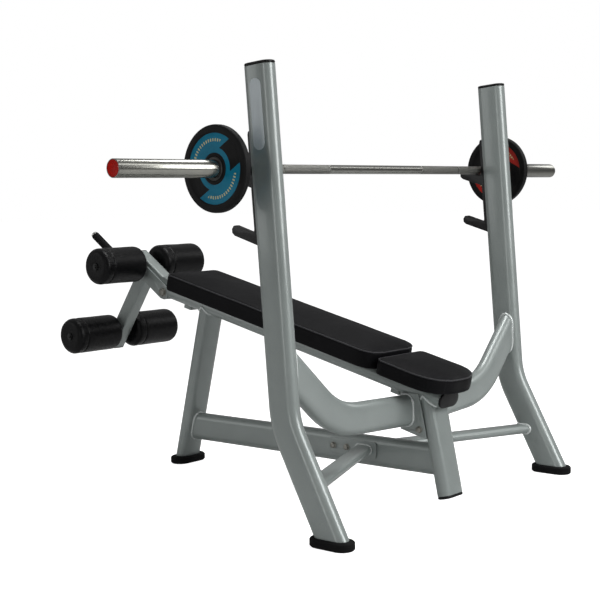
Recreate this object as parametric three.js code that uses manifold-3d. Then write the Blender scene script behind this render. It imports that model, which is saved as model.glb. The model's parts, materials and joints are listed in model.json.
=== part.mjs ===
// An olympic decline bench press with a loaded barbell on its hooks.
// Millimetres, +Z up. +X runs to the low (head) end of the bench, +Y to the lifter's right.
// The origin is on the floor, at the middle of the object's footprint.
import * as THREE from 'three';
import { mergeVertices } from 'three/addons/utils/BufferGeometryUtils.js';
import Module from 'manifold-3d';

const wasm = await Module();
wasm.setup();

// ---------- driving dimensions ----------

const DEGREE = Math.PI / 180;
const GAP = 0.3;                        // between two pieces that touch
const ARC_STEPS = 2;                    // half of the steps in a quarter circle of an outline
const AROUND = { bolt: 12, rod: 20, bar: 24, roller: 28, plate: 32 };   // segments in a full turn
const FAR = 2000;                       // a trimming block's reach, beyond every part of the object
const OVERRUN = 10;                     // extra length of an end that is then cut to fit
const SIDES = { left: -1, right: 1 };   // sign of Y
const FOOTPRINT_SHIFT = 2.9;            // brings the middle of the footprint over the origin

const FRAME_TUBE = { long: 100, wide: 50, wall: 3 };    // flat-sided oval, used all over the frame
const BRACE_TUBE = { long: 60, wide: 30, wall: 2.5 };
const LEG_TUBE = { long: 54, wide: 50, wall: 3, corner: 6 };

const UPRIGHT = {
  y: 599,                               // half the distance between the uprights
  bend: { x: 644, z: 328 }, bendRadius: 250, bendSteps: 6,
  upperLean: 3.8 * DEGREE, upperLength: 1013,
  lowerLean: 28 * DEGREE,
};
const FOOT_PAD = { height: 26, long: 144, wide: 70, chamfer: 4, forward: 1 };
const LEG_PAD = { height: 26, long: 146, wide: 76, chamfer: 4 };
const CAP = { thickness: 2, dome: 3.5 };
const BADGE = { length: 201, width: 42, thickness: 1.2, centreBelowTop: 137 };

// Bar hooks, measured in the leaning upright: out from its front crest and up from the bend.
const HOOK = {
  thickness: 12, strip: 11, stripTop: 837, armWidth: 32, reach: 84, rise: 20.9 * DEGREE,
  lowerTip: 559, spacing: 161, fillet: 8,
};

const SPINE = { z: 139 };
const FOOT_LEG = { floorX: -389, lean: 14.8 * DEGREE };
const HEAD_POST = { floorX: 798, lean: -11.4 * DEGREE, endZ: 35 };

const ARM = {
  z: 296, slope: 1.8 * DEGREE, rise: 43 * DEGREE, innerX: 668, outerX: 642,
  bendY: 390, bendRadius: 250, bendSteps: 7,
};
const ARM_MOUNT = { halfWidth: 45.7, left: 643, top: 350, belowRail: 134.7, plate: 8, coreInset: 3 };
const ARM_BOLT = { x: 715, z: 238.5 };
const BRACE = { z: 146, innerX: 467, outerX: 716 };
const BRACE_PLATE = { left: 331, right: 525, height: 52, thickness: 6, corner: 8 };
const BRACE_BOLT_X = [349, 405];

// The bench slopes down to the head; S is measured along the slope, H square to it.
const DECLINE = 14 * DEGREE;
const RAIL = { originZ: 529, footS: -417, headS: 809 };
const STRAP = { length: 48, width: 180, footS: -346, headS: 622 };
const PAD_GAP = 10;                     // from the rail up to the pads, filled by the straps
const MAIN_PAD = { from: -373, to: 590, width: 262, thickness: 58, corner: 45, edge: 9 };
const HEAD_PAD = { from: 597, to: 835, width: 254, thickness: 44, corner: 62, edge: 9 };

// The leg hold swings on a pivot; D runs along its upper tube towards the head, N square to it.
const LEG_HOLD = { pivot: { x: -456, z: 630 }, tilt: 35 * DEGREE, stopZ: 686 };
const UPPER_TUBE = { from: -202, to: 0, n: 15.6 };
const LOWER_TUBE = { d: -138, to: -352 };
const LUG = { radius: 27, thickness: 7, back: -125 };
const ROLLER_AXLES = { upper: { d: -158, n: 17 }, lower: { d: -138, n: -291 } };
const AXLE = { radius: 12.5, end: 254, headRadius: 7, headLength: 5 };
const ROLLER = { radius: 63.5, inner: 48, outer: 252, bore: 12.9, round: 16, roundSteps: 3 };
const HANDLE = { radius: 12.5, n: -66, length: 303 };
const GRIP = { radius: 15.5, length: 150, lip: 2, lipLength: 5, lipSlope: 3 };
const HANDLE_CAP = { radius: 13.5, length: 10, edge: 3 };
const PLUG = { inset: 2, thickness: 2 };
const BRACKET = { plate: 6, topBack: -500, topFront: -458, shoulder: { x: -438, drop: 9 }, insideLugs: 1 };

const BOLT = { radius: 5, hole: 5.6, head: 9, headHeight: 7, washer: 11, wideWasher: 17, washerHeight: 2 };
const PIVOT_BOLT = { radius: 8, hole: 8.4, head: 13, headHeight: 8, washer: 16, washerHeight: 2.5 };

const BAR = { shaftRadius: 14, halfLength: 1094, seatGap: 0.4 };
const SLEEVE = {
  radius: 25, bore: 14.35, start: 657, hubRadius: 29, collarStart: 682, collarEnd: 712, collarRadius: 37,
  end: 1094,
};
const END_CAP = { thickness: 6, edge: 1.5 };
const PLATE = { radius: 122.5, thickness: 23, boss: 41, rim: 103, recess: 2.5, edge: 3 };
const INSERT = { radius: 33, bore: 25.6, proud: 1, edge: 1.5 };

// ---------- solids ----------

// A closed three.js geometry as a manifold solid, so that it can be joined and cut.
function solidOf(geometry) {
  const bare = geometry.clone();
  bare.deleteAttribute('normal');
  bare.deleteAttribute('uv');
  const merged = mergeVertices(bare, 1e-4);
  const index = merged.index.array;
  const triangles = [];
  for (let i = 0; i < index.length; i += 3) {
    const [a, b, c] = index.slice(i, i + 3);
    if (a !== b && b !== c && c !== a) triangles.push(a, b, c);
  }
  const vertProperties = new Float32Array(merged.attributes.position.array);
  const triVerts = new Uint32Array(triangles);
  return new wasm.Manifold(new wasm.Mesh({ numProp: 3, vertProperties, triVerts }));
}

function geometryOf(solid) {
  const { vertProperties, triVerts } = solid.getMesh();
  const geometry = new THREE.BufferGeometry();
  geometry.setAttribute('position', new THREE.BufferAttribute(vertProperties, 3));
  geometry.setIndex(new THREE.BufferAttribute(triVerts, 1));
  geometry.computeVertexNormals();
  return geometry;
}

// The base geometry with every cutter taken out of it.
function cut(base, ...cutters) {
  return geometryOf(cutters.reduce((solid, cutter) => solid.subtract(solidOf(cutter)), solidOf(base)));
}

function join(first, second) {
  return geometryOf(solidOf(first).add(solidOf(second)));
}

// A box between two corners, mostly used as a trimming block.
function block(low, high) {
  const size = high.map((value, axis) => value - low[axis]);
  const centre = high.map((value, axis) => (value + low[axis]) / 2);
  return new THREE.BoxGeometry(...size).translate(...centre);
}

// The two Y values, in rising order, of a span from near to far on one side of the middle.
function spanOnSide(side, near, far) {
  return side > 0 ? [near, far] : [-far, -near];
}

// ---------- outlines and sweeps ----------

function roundedRectangle(sizeX, sizeY, radius) {
  const x = sizeX / 2 - radius;
  const y = sizeY / 2 - radius;
  const outline = new THREE.Shape();
  outline.absarc(x, y, radius, 0, Math.PI / 2);
  outline.absarc(-x, y, radius, Math.PI / 2, Math.PI);
  outline.absarc(-x, -y, radius, Math.PI, 1.5 * Math.PI);
  outline.absarc(x, -y, radius, 1.5 * Math.PI, 2 * Math.PI);
  return outline;
}

// A rectangle whose two short ends are half circles.
function oval(sizeX, sizeY) {
  return roundedRectangle(sizeX, sizeY, Math.min(sizeX, sizeY) / 2);
}

// The section of a hollow tube, from the outline function of its outer and inner faces.
function hollow(outlineOf, tube) {
  const outline = outlineOf(tube.long, tube.wide, tube.corner);
  const walls = 2 * tube.wall;
  outline.holes.push(outlineOf(tube.long - walls, tube.wide - walls, tube.corner - tube.wall));
  return outline;
}

function extrude(outline, depth, options = {}) {
  const settings = { depth, bevelEnabled: false, curveSegments: ARC_STEPS, ...options };
  return new THREE.ExtrudeGeometry(outline, settings);
}

// A straight tube or envelope from one point to another, its section's long side along longAxis.
function straight(outline, from, to, longAxis) {
  const along = new THREE.Vector3(...to).sub(new THREE.Vector3(...from));
  const length = along.length();
  along.normalize();
  const side = new THREE.Vector3(...longAxis);
  side.addScaledVector(along, -side.dot(along)).normalize();
  const third = new THREE.Vector3().crossVectors(along, side);
  const matrix = new THREE.Matrix4().makeBasis(side, third, along).setPosition(...from);
  return extrude(outline, length).applyMatrix4(matrix);
}

// A path that an extrusion follows section by section: straight, one bend, straight.
class BentPath extends THREE.Curve {
  constructor(from, corner, to, radius, bendSteps) {
    super();
    const into = corner.clone().sub(from).normalize();
    const out = to.clone().sub(corner).normalize();
    const turn = into.angleTo(out);
    const reach = radius * Math.tan(turn / 2);
    const arcStart = corner.clone().addScaledVector(into, -reach);
    const inward = out.clone().addScaledVector(into, -out.dot(into)).normalize();
    const centre = arcStart.clone().addScaledVector(inward, radius);
    this.stations = [{ point: from, tangent: into }];
    for (let i = 0; i <= bendSteps; i += 1) {
      const angle = turn * i / bendSteps;
      const point = centre.clone()
        .addScaledVector(inward, -radius * Math.cos(angle))
        .addScaledVector(into, radius * Math.sin(angle));
      const tangent = into.clone().multiplyScalar(Math.cos(angle)).addScaledVector(inward, Math.sin(angle));
      this.stations.push({ point, tangent });
    }
    this.stations.push({ point: to, tangent: out });
  }

  get steps() {
    return this.stations.length - 1;
  }

  stationAt(share) {
    return this.stations[Math.round(share * this.steps)];
  }

  getPointAt(share, target = new THREE.Vector3()) {
    return target.copy(this.stationAt(share).point);
  }

  getTangentAt(share, target = new THREE.Vector3()) {
    return target.copy(this.stationAt(share).tangent);
  }
}

function bentTube(outline, path) {
  return extrude(outline, 0, { steps: path.steps, extrudePath: path });
}

// A drill along Y, right through the object.
function drill(radius, x, z, segments = AROUND.rod) {
  return new THREE.CylinderGeometry(radius, radius, FAR, segments).translate(x, 0, z);
}

// A solid of revolution about Y, from [radius, y] pairs.
function turnedAboutY(profile, segments = AROUND.bar) {
  return new THREE.LatheGeometry(profile.map(([radius, y]) => new THREE.Vector2(radius, y)), segments);
}

// A bolt along Y from its head to its nut, each on a washer, holding what lies between the two faces.
function throughBolt(size, from, to) {
  const nut = size.washerHeight + size.headHeight;
  return turnedAboutY([
    [0, from - nut], [size.head, from - nut], [size.head, from - size.washerHeight],
    [size.washer, from - size.washerHeight], [size.washer, from],
    [size.radius, from], [size.radius, to],
    [size.washer, to], [size.washer, to + size.washerHeight],
    [size.head, to + size.washerHeight], [size.head, to + nut], [0, to + nut],
  ], AROUND.bolt);
}

// ---------- materials ----------

function finish(color, roughness, metalness) {
  return new THREE.MeshStandardMaterial({ color, roughness, metalness });
}

const MATERIALS = {
  frame: finish(0x8f9b98, 0.35, 0.6),
  blackSteel: finish(0x17191a, 0.45, 0.4),
  rubber: finish(0x141516, 0.8, 0),
  plastic: finish(0x1b1c1d, 0.5, 0),
  vinyl: finish(0x2c2c2e, 0.5, 0),
  foam: finish(0x191a1b, 0.6, 0),
  zinc: finish(0xb0a88f, 0.35, 0.9),
  chrome: finish(0xc9ccce, 0.18, 1),
  redCap: finish(0xa8200f, 0.4, 0),
  badge: finish(0xb4bcbc, 0.35, 0.5),
};

function piece(parent, name, geometry, material) {
  const mesh = new THREE.Mesh(geometry, material);
  mesh.name = name;
  parent.add(mesh);
  return mesh;
}

// Puts a piece at a point with its own Z along one direction and its own X along another.
function aim(mesh, at, normal, long) {
  const z = new THREE.Vector3(...normal);
  const x = new THREE.Vector3(...long);
  mesh.quaternion.setFromRotationMatrix(new THREE.Matrix4().makeBasis(x, z.clone().cross(x), z));
  mesh.position.set(...at);
}

// ---------- uprights ----------

const frameSection = () => hollow(oval, FRAME_TUBE);
const frameEnvelope = () => oval(FRAME_TUBE.long + 2 * GAP, FRAME_TUBE.wide + 2 * GAP);

// In the plane of an upright's bend, an outline's Y side is the one that lies in the plane.
const turnedTube = { ...FRAME_TUBE, long: FRAME_TUBE.wide, wide: FRAME_TUBE.long };
const uprightSection = () => hollow(oval, turnedTube);
const uprightEnvelope = () => oval(FRAME_TUBE.wide + 2 * GAP, FRAME_TUBE.long + 2 * GAP);

function uprightGeometry(outline) {
  const { bend, upperLean, upperLength, lowerLean } = UPRIGHT;
  const foot = new THREE.Vector3(bend.x + bend.z * Math.tan(lowerLean), 0, 0);
  const corner = new THREE.Vector3(bend.x, 0, bend.z);
  const up = new THREE.Vector3(-Math.sin(upperLean), 0, Math.cos(upperLean));
  const top = corner.clone().addScaledVector(up, upperLength);
  return bentTube(outline, new BentPath(foot, corner, top, UPRIGHT.bendRadius, UPRIGHT.bendSteps));
}

// What is cut off a tube that runs from a plate beside the middle out to an upright.
function trimBetween(start, side) {
  const beyond = spanOnSide(side, UPRIGHT.y, FAR);
  return [
    block([-FAR, -start, -FAR], [FAR, start, FAR]),
    block([-FAR, beyond[0], -FAR], [FAR, beyond[1], FAR]),
    uprightGeometry(uprightEnvelope()).translate(0, side * UPRIGHT.y, 0),
  ];
}

function everythingBelow(z) {
  return block([-FAR, -FAR, -FAR], [FAR, FAR, z]);
}

// From the front crest inwards: a strip up the upright's face with two rising arms.
function hookOutline() {
  const { strip, stripTop, armWidth, reach, rise, lowerTip, spacing, fillet } = HOOK;
  const round = armWidth / 2;
  const slope = Math.tan(rise);
  const edge = round / Math.cos(rise);
  const bottomAt = (out, tip) => tip - (reach - out) * slope - edge;
  const topAt = (out, tip) => tip - (reach - out) * slope + edge;
  const outline = new THREE.Shape();
  outline.moveTo(0, stripTop);
  outline.lineTo(0, bottomAt(0, lowerTip));
  for (const tip of [lowerTip, lowerTip + spacing]) {
    if (tip > lowerTip) outline.lineTo(-strip, bottomAt(strip, tip));
    outline.absarc(-reach, tip, round, 1.5 * Math.PI - rise, Math.PI / 2 - rise, true);
    outline.lineTo(-strip - fillet, topAt(strip + fillet, tip));
    outline.quadraticCurveTo(-strip, topAt(strip, tip), -strip, topAt(strip, tip) + fillet);
  }
  outline.lineTo(-strip, stripTop - strip);
  outline.quadraticCurveTo(-strip, stripTop, 0, stripTop);
  return outline;
}

function addUpright(parent, sideName) {
  const side = new THREE.Group();
  side.position.y = SIDES[sideName] * UPRIGHT.y;
  parent.add(side);
  const tube = cut(uprightGeometry(uprightSection()), everythingBelow(FOOT_PAD.height + GAP));
  piece(side, `upright_${sideName}`, tube, MATERIALS.frame);

  const leaning = new THREE.Group();
  leaning.position.set(UPRIGHT.bend.x, 0, UPRIGHT.bend.z);
  leaning.rotation.y = -UPRIGHT.upperLean;
  side.add(leaning);

  const cap = piece(leaning, `upright_cap_${sideName}`, capGeometry(FRAME_TUBE), MATERIALS.plastic);
  cap.position.z = UPRIGHT.upperLength + GAP;

  const hookPlate = extrude(hookOutline(), HOOK.thickness);
  const hook = piece(leaning, `bar_hook_${sideName}`, hookPlate, MATERIALS.blackSteel);
  hook.rotation.x = Math.PI / 2;
  hook.position.set(-FRAME_TUBE.long / 2 - GAP, HOOK.thickness / 2, 0);

  const pad = piece(side, `foot_pad_${sideName}`, footPadGeometry(FOOT_PAD), MATERIALS.rubber);
  const belowBend = UPRIGHT.bend.z - FOOT_PAD.height;
  pad.position.x = UPRIGHT.bend.x + belowBend * Math.tan(UPRIGHT.lowerLean) + FOOT_PAD.forward;
  return leaning;
}

// A low plug over a tube's end, with a domed edge.
function capGeometry(tube) {
  const { thickness, dome } = CAP;
  return extrude(oval(tube.long - 2 * dome, tube.wide - 2 * dome), thickness, {
    bevelEnabled: true, bevelThickness: dome, bevelSize: dome, bevelSegments: 2,
  }).translate(0, 0, dome);
}

function footPadGeometry(size) {
  const { height, long, wide, chamfer } = size;
  return extrude(oval(long - 2 * chamfer, wide - 2 * chamfer), height - 2 * chamfer, {
    bevelEnabled: true, bevelThickness: chamfer, bevelSize: chamfer, bevelSegments: 1,
  }).translate(0, 0, chamfer);
}

function addBadge(leaning) {
  const plate = extrude(oval(BADGE.width, BADGE.length), BADGE.thickness);
  const badge = piece(leaning, 'badge', plate, MATERIALS.badge);
  badge.rotation.x = Math.PI / 2;
  badge.position.set(0, -FRAME_TUBE.wide / 2 - GAP, UPRIGHT.upperLength - BADGE.centreBelowTop);
}

// ---------- centre frame ----------

const legX = (leg, z) => leg.floorX + z * Math.tan(leg.lean);

// X and Z of a point in the sloping bench.
function inSlope(s, h) {
  const x = s * Math.cos(DECLINE) + h * Math.sin(DECLINE);
  const z = RAIL.originZ - s * Math.sin(DECLINE) + h * Math.cos(DECLINE);
  return [x, z];
}

function railPoint(s) {
  const [x, z] = inSlope(s, 0);
  return [x, 0, z];
}

// Where a leg's line meets a line that falls with the rail and passes over the origin at a height.
function meetSlope(leg, height) {
  const slope = Math.tan(DECLINE);
  const z = (height - leg.floorX * slope) / (1 + Math.tan(leg.lean) * slope);
  return [legX(leg, z), 0, z];
}

// A leg's centre line, from a height above the floor up to the rail's centre line.
function legLine(leg, bottom) {
  return { from: [legX(leg, bottom), 0, bottom], to: meetSlope(leg, RAIL.originZ) };
}

const footLegLine = legLine(FOOT_LEG, 0);
const headPostLine = legLine(HEAD_POST, HEAD_POST.endZ);
const ACROSS = [0, 1, 0];
const UP = [0, 0, 1];

function railEnvelope() {
  return straight(frameEnvelope(), railPoint(RAIL.footS - OVERRUN), railPoint(RAIL.headS + OVERRUN), ACROSS);
}

function addSpine(parent) {
  const ends = [footLegLine, headPostLine]
    .map((line) => straight(frameEnvelope(), line.from, line.to, ACROSS));
  const from = [legX(FOOT_LEG, SPINE.z), 0, SPINE.z];
  const to = [legX(HEAD_POST, SPINE.z), 0, SPINE.z];
  const holes = BRACE_BOLT_X.map((x) => drill(BOLT.hole, x, BRACE.z));
  const spine = cut(straight(frameSection(), from, to, UP), ...ends, ...holes);
  piece(parent, 'spine', spine, MATERIALS.frame);
}

function addLegs(parent) {
  const leg = straight(frameSection(), footLegLine.from, footLegLine.to, ACROSS);
  piece(parent, 'foot_leg', cut(leg, railEnvelope(), everythingBelow(LEG_PAD.height + GAP)), MATERIALS.frame);
  const pad = piece(parent, 'foot_pad_leg', footPadGeometry(LEG_PAD), MATERIALS.rubber);
  pad.rotation.z = Math.PI / 2;
  pad.position.x = legX(FOOT_LEG, LEG_PAD.height);

  const post = straight(frameSection(), headPostLine.from, headPostLine.to, ACROSS);
  piece(parent, 'head_post', cut(post, railEnvelope()), MATERIALS.frame);
  const cap = piece(parent, 'head_post_cap', capGeometry(FRAME_TUBE), MATERIALS.plastic);
  const down = [-Math.sin(HEAD_POST.lean), 0, -Math.cos(HEAD_POST.lean)];
  aim(cap, headPostLine.from.map((value, axis) => value + GAP * down[axis]), down, ACROSS);
}

// ---------- curved arms ----------

// The plate that ends each arm, in X and Z: its bottom is parallel to the rail, one side to the post.
function armPlateOutline(inset, toPost) {
  const { left, top, belowRail } = ARM_MOUNT;
  const slopeZ = RAIL.originZ - belowRail + inset;
  const postSide = { ...HEAD_POST, floorX: HEAD_POST.floorX - toPost };
  const corner = meetSlope(postSide, slopeZ);
  const outline = new THREE.Shape();
  outline.moveTo(left + inset, slopeZ - (left + inset) * Math.tan(DECLINE));
  outline.lineTo(corner[0], corner[2]);
  outline.lineTo(legX(postSide, top), top);
  outline.lineTo(left + inset, top);
  return outline;
}

// An outline in X and Z, made as thick as the span between two Y values.
function slabAlongY(outline, from, to) {
  return extrude(outline, to - from).rotateX(Math.PI / 2).translate(0, to, 0);
}

function addArmMount(parent) {
  const { halfWidth, plate, coreInset } = ARM_MOUNT;
  const postFace = FRAME_TUBE.wide / 2 / Math.cos(HEAD_POST.lean) + GAP;
  const round = FRAME_TUBE.wide / 2;
  const beside = halfWidth - (FRAME_TUBE.long / 2 - round);
  const postEdge = Math.sqrt(round * round - beside * beside) / Math.cos(HEAD_POST.lean) + GAP;
  const bore = drill(BOLT.hole, ARM_BOLT.x, ARM_BOLT.z);
  const core = slabAlongY(armPlateOutline(coreInset, postFace), -halfWidth, halfWidth);
  piece(parent, 'arm_mount_block', cut(core, railEnvelope(), bore), MATERIALS.frame);
  const face = halfWidth + plate + 2 * GAP;
  for (const [sideName, side] of Object.entries(SIDES)) {
    const faces = spanOnSide(side, halfWidth + GAP, halfWidth + GAP + plate);
    const flange = cut(slabAlongY(armPlateOutline(0, postEdge), ...faces), railEnvelope(), bore);
    piece(parent, `arm_flange_${sideName}`, flange, MATERIALS.frame);
    addArm(parent, sideName, face);
  }
  const bolt = piece(parent, 'arm_bolt', throughBolt(BOLT, -face, face), MATERIALS.zinc);
  bolt.position.set(ARM_BOLT.x, 0, ARM_BOLT.z);
}

function addArm(parent, sideName, start) {
  const side = SIDES[sideName];
  const { z, slope, rise, bendY, bendRadius, bendSteps, innerX, outerX } = ARM;
  const turn = Math.atan2(innerX - outerX, UPRIGHT.y - start);
  const along = (y) => (y - start) / Math.cos(turn);
  const endY = UPRIGHT.y + FRAME_TUBE.long / 2;
  const bend = new THREE.Vector3(0, along(bendY), z + along(bendY) * Math.tan(slope));
  const inner = new THREE.Vector3(0, -OVERRUN, z - OVERRUN * Math.tan(slope));
  const outer = new THREE.Vector3(0, along(endY), bend.z + (along(endY) - bend.y) * Math.tan(rise));
  const path = new BentPath(inner, bend, outer, bendRadius, bendSteps);
  const place = new THREE.Matrix4().makeRotationZ(side > 0 ? turn : Math.PI - turn)
    .setPosition(innerX, side * start, 0);
  const tube = bentTube(uprightSection(), path).applyMatrix4(place);
  piece(parent, `arm_${sideName}`, cut(tube, ...trimBetween(start, side)), MATERIALS.frame);
}

// ---------- straight braces ----------

function addBraces(parent) {
  const { left, right, height, thickness, corner } = BRACE_PLATE;
  const inner = FRAME_TUBE.wide / 2 + GAP;
  const outer = inner + thickness;
  const holes = BRACE_BOLT_X.map((x) => drill(BOLT.hole, x, BRACE.z));
  for (const [sideName, side] of Object.entries(SIDES)) {
    const faces = spanOnSide(side, inner, outer);
    const plate = slabAlongY(roundedRectangle(right - left, height, corner), ...faces)
      .translate((left + right) / 2, 0, BRACE.z);
    piece(parent, `brace_flange_${sideName}`, cut(plate, ...holes), MATERIALS.frame);

    const from = [BRACE.innerX, side * (inner - OVERRUN), BRACE.z];
    const to = [BRACE.outerX, side * UPRIGHT.y, BRACE.z];
    const level = [to[1] - from[1], from[0] - to[0], 0];
    const tube = straight(hollow(oval, BRACE_TUBE), from, to, level);
    piece(parent, `brace_${sideName}`, cut(tube, ...trimBetween(outer + GAP, side)), MATERIALS.frame);
  }
  BRACE_BOLT_X.forEach((x, i) => {
    const bolt = throughBolt(BOLT, -outer - GAP, outer + GAP);
    piece(parent, `brace_bolt_${i + 1}`, bolt, MATERIALS.zinc).position.set(x, 0, BRACE.z);
  });
}

// ---------- bench: rail and pads, in the sloping frame ----------

function addBench(parent) {
  const bench = new THREE.Group();
  bench.position.z = RAIL.originZ;
  bench.rotation.y = DECLINE;
  parent.add(bench);

  const half = FRAME_TUBE.wide / 2;
  const boltHole = (s) => drill(BOLT.hole, 0, 0, AROUND.bolt).rotateX(Math.PI / 2).translate(s, 0, 0);
  const straps = { foot: STRAP.footS, head: STRAP.headS };
  const rail = straight(frameSection(), [RAIL.footS, 0, 0], [RAIL.headS, 0, 0], ACROSS);
  piece(bench, 'pad_rail', cut(rail, ...Object.values(straps).map(boltHole)), MATERIALS.frame);

  const cap = piece(bench, 'pad_rail_cap', capGeometry(FRAME_TUBE), MATERIALS.plastic);
  aim(cap, [RAIL.headS + GAP, 0, 0], [1, 0, 0], ACROSS);

  for (const [end, s] of Object.entries(straps)) {
    const strap = block(
      [s - STRAP.length / 2, -STRAP.width / 2, half + GAP],
      [s + STRAP.length / 2, STRAP.width / 2, half + PAD_GAP - GAP],
    );
    piece(bench, `pad_strap_${end}`, cut(strap, boltHole(s)), MATERIALS.blackSteel);
    const boltGeometry = padBoltGeometry(-half - GAP, half + PAD_GAP - 2 * GAP);
    const bolt = piece(bench, `pad_bolt_${end}`, boltGeometry, MATERIALS.zinc);
    bolt.rotation.x = Math.PI / 2;
    bolt.position.x = s;
  }
  addPad(bench, 'main_pad', MAIN_PAD, half + PAD_GAP);
  addPad(bench, 'head_pad', HEAD_PAD, half + PAD_GAP);
}

// Head and wide washer under the rail, shank up through the rail and the strap.
function padBoltGeometry(under, top) {
  const { radius, head, headHeight, wideWasher, washerHeight } = BOLT;
  const seat = under - washerHeight;
  const tip = seat - headHeight;
  return turnedAboutY([
    [0, tip], [head, tip], [head, seat], [wideWasher, seat], [wideWasher, under],
    [radius, under], [radius, top], [0, top],
  ], AROUND.bolt);
}

function addPad(bench, name, size, bottom) {
  const { from, to, width, thickness, corner, edge } = size;
  const outline = roundedRectangle(to - from - 2 * edge, width - 2 * edge, corner - edge);
  const pad = extrude(outline, thickness - 2 * edge, {
    bevelEnabled: true, bevelThickness: edge, bevelSize: edge, bevelSegments: 2, curveSegments: 3,
  });
  piece(bench, name, pad, MATERIALS.vinyl).position.set((from + to) / 2, 0, bottom + edge);
}

// ---------- leg hold ----------

// An end plate on the rail and a block around the pivot, whose level top is the upper tube's stop.
function addPivotBracket(parent) {
  const { plate, topBack, topFront, shoulder, insideLugs } = BRACKET;
  const { pivot, stopZ } = LEG_HOLD;
  const face = RAIL.footS - GAP - plate;
  const joined = face + plate / 2;
  const half = FRAME_TUBE.wide / 2;
  const top = stopZ - GAP;
  const outline = new THREE.Shape();
  outline.moveTo(...inSlope(joined, -half));
  outline.lineTo(...inSlope(joined, half));
  outline.lineTo(shoulder.x, top - shoulder.drop);
  outline.lineTo(topFront, top);
  outline.lineTo(topBack, top);
  outline.lineTo(topBack, pivot.z + LUG.radius);
  outline.absarc(pivot.x, pivot.z, LUG.radius - insideLugs, Math.PI, 1.5 * Math.PI);
  const halfWidth = LEG_TUBE.wide / 2 - GAP;
  const endPlate = extrude(oval(FRAME_TUBE.wide, FRAME_TUBE.long), plate)
    .rotateY(Math.PI / 2).translate(face, 0, 0).rotateY(DECLINE).translate(0, 0, RAIL.originZ);
  const body = join(slabAlongY(outline, -halfWidth, halfWidth), endPlate);
  const hole = drill(PIVOT_BOLT.hole, pivot.x, pivot.z);
  piece(parent, 'pivot_bracket', cut(body, hole), MATERIALS.frame);
}

function addLegHold(parent) {
  const hold = new THREE.Group();
  hold.position.set(LEG_HOLD.pivot.x, 0, LEG_HOLD.pivot.z);
  hold.rotation.y = LEG_HOLD.tilt;
  parent.add(hold);
  addHoldTubes(hold);
  addLugs(hold);
  addPlugs(hold);
  addHandle(hold);
  for (const [row, { d, n }] of Object.entries(ROLLER_AXLES)) addRollers(hold, row, d, n);
}

// The upper tube, cut level where it rests on the bracket, and the lower tube under it.
function addHoldTubes(hold) {
  const { from, to, n } = UPPER_TUBE;
  const section = () => hollow(roundedRectangle, LEG_TUBE);
  const drills = Object.values(ROLLER_AXLES).map((axle) => drill(AXLE.radius + GAP, axle.d, axle.n));
  const upper = straight(section(), [from, 0, n], [to, 0, n], UP);
  const belowStop = everythingBelow(LEG_HOLD.stopZ - LEG_HOLD.pivot.z).rotateY(-LEG_HOLD.tilt);
  piece(hold, 'leg_hold_upper_tube', cut(upper, belowStop, ...drills), MATERIALS.frame);
  const { d, to: bottom } = LOWER_TUBE;
  const top = n - LEG_TUBE.long / 2 - GAP;
  const lower = straight(section(), [d, 0, bottom], [d, 0, top], [1, 0, 0]);
  piece(hold, 'leg_hold_lower_tube', cut(lower, ...drills), MATERIALS.frame);
}

// A plate on each side of the upper tube, and the bolt that both turn on.
function addLugs(hold) {
  const near = LEG_TUBE.wide / 2 + GAP;
  const far = near + LUG.thickness;
  const hole = drill(PIVOT_BOLT.hole, 0, 0);
  for (const [sideName, side] of Object.entries(SIDES)) {
    const lug = slabAlongY(lugOutline(), ...spanOnSide(side, near, far));
    piece(hold, `leg_hold_lug_${sideName}`, cut(lug, hole), MATERIALS.frame);
  }
  piece(hold, 'leg_hold_pivot_bolt', throughBolt(PIVOT_BOLT, -far - GAP, far + GAP), MATERIALS.zinc);
}

function addPlugs(hold) {
  const top = piece(hold, 'leg_hold_top_plug', plugGeometry(), MATERIALS.plastic);
  top.rotation.y = -Math.PI / 2;
  top.position.set(UPPER_TUBE.from - GAP, 0, UPPER_TUBE.n);
  const bottom = piece(hold, 'leg_hold_bottom_plug', plugGeometry(), MATERIALS.plastic);
  bottom.rotation.y = Math.PI;
  bottom.position.set(LOWER_TUBE.d, 0, LOWER_TUBE.to - GAP);
}

function lugOutline() {
  const { radius, back } = LUG;
  const outline = new THREE.Shape();
  outline.moveTo(back, radius);
  outline.lineTo(back, -radius);
  outline.absarc(0, 0, radius, -Math.PI / 2, Math.PI / 2);
  return outline;
}

function plugGeometry() {
  const { inset, thickness } = PLUG;
  const { long, wide, corner } = LEG_TUBE;
  return extrude(roundedRectangle(long - 2 * inset, wide - 2 * inset, corner - inset), thickness, {
    bevelEnabled: true, bevelThickness: inset, bevelSize: inset, bevelSegments: 1,
  }).translate(0, 0, inset);
}

// A bar from the back of the lower tube, with a rubber grip and a metal end cap.
function addHandle(hold) {
  const handle = new THREE.Group();
  handle.position.set(LOWER_TUBE.d - LEG_TUBE.long / 2 - GAP, 0, HANDLE.n);
  handle.rotation.z = Math.PI / 2;
  hold.add(handle);
  const capStart = HANDLE.length - HANDLE_CAP.length;
  const barEnd = capStart - GAP;
  const bar = turnedAboutY([[0, 0], [HANDLE.radius, 0], [HANDLE.radius, barEnd], [0, barEnd]], AROUND.rod);
  piece(handle, 'handle_bar', bar, MATERIALS.frame);
  piece(handle, 'handle_grip', gripGeometry(barEnd - GRIP.length, barEnd), MATERIALS.rubber);
  piece(handle, 'handle_end_cap', handleCapGeometry(capStart, HANDLE.length), MATERIALS.chrome);
}

// A sleeve with a raised lip at its inner end.
function gripGeometry(start, end) {
  const { radius, lip, lipLength, lipSlope } = GRIP;
  const bore = HANDLE.radius + GAP;
  return turnedAboutY([
    [bore, start], [radius + lip, start], [radius + lip, start + lipLength],
    [radius, start + lipLength + lipSlope], [radius, end], [bore, end], [bore, start],
  ], AROUND.rod);
}

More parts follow.
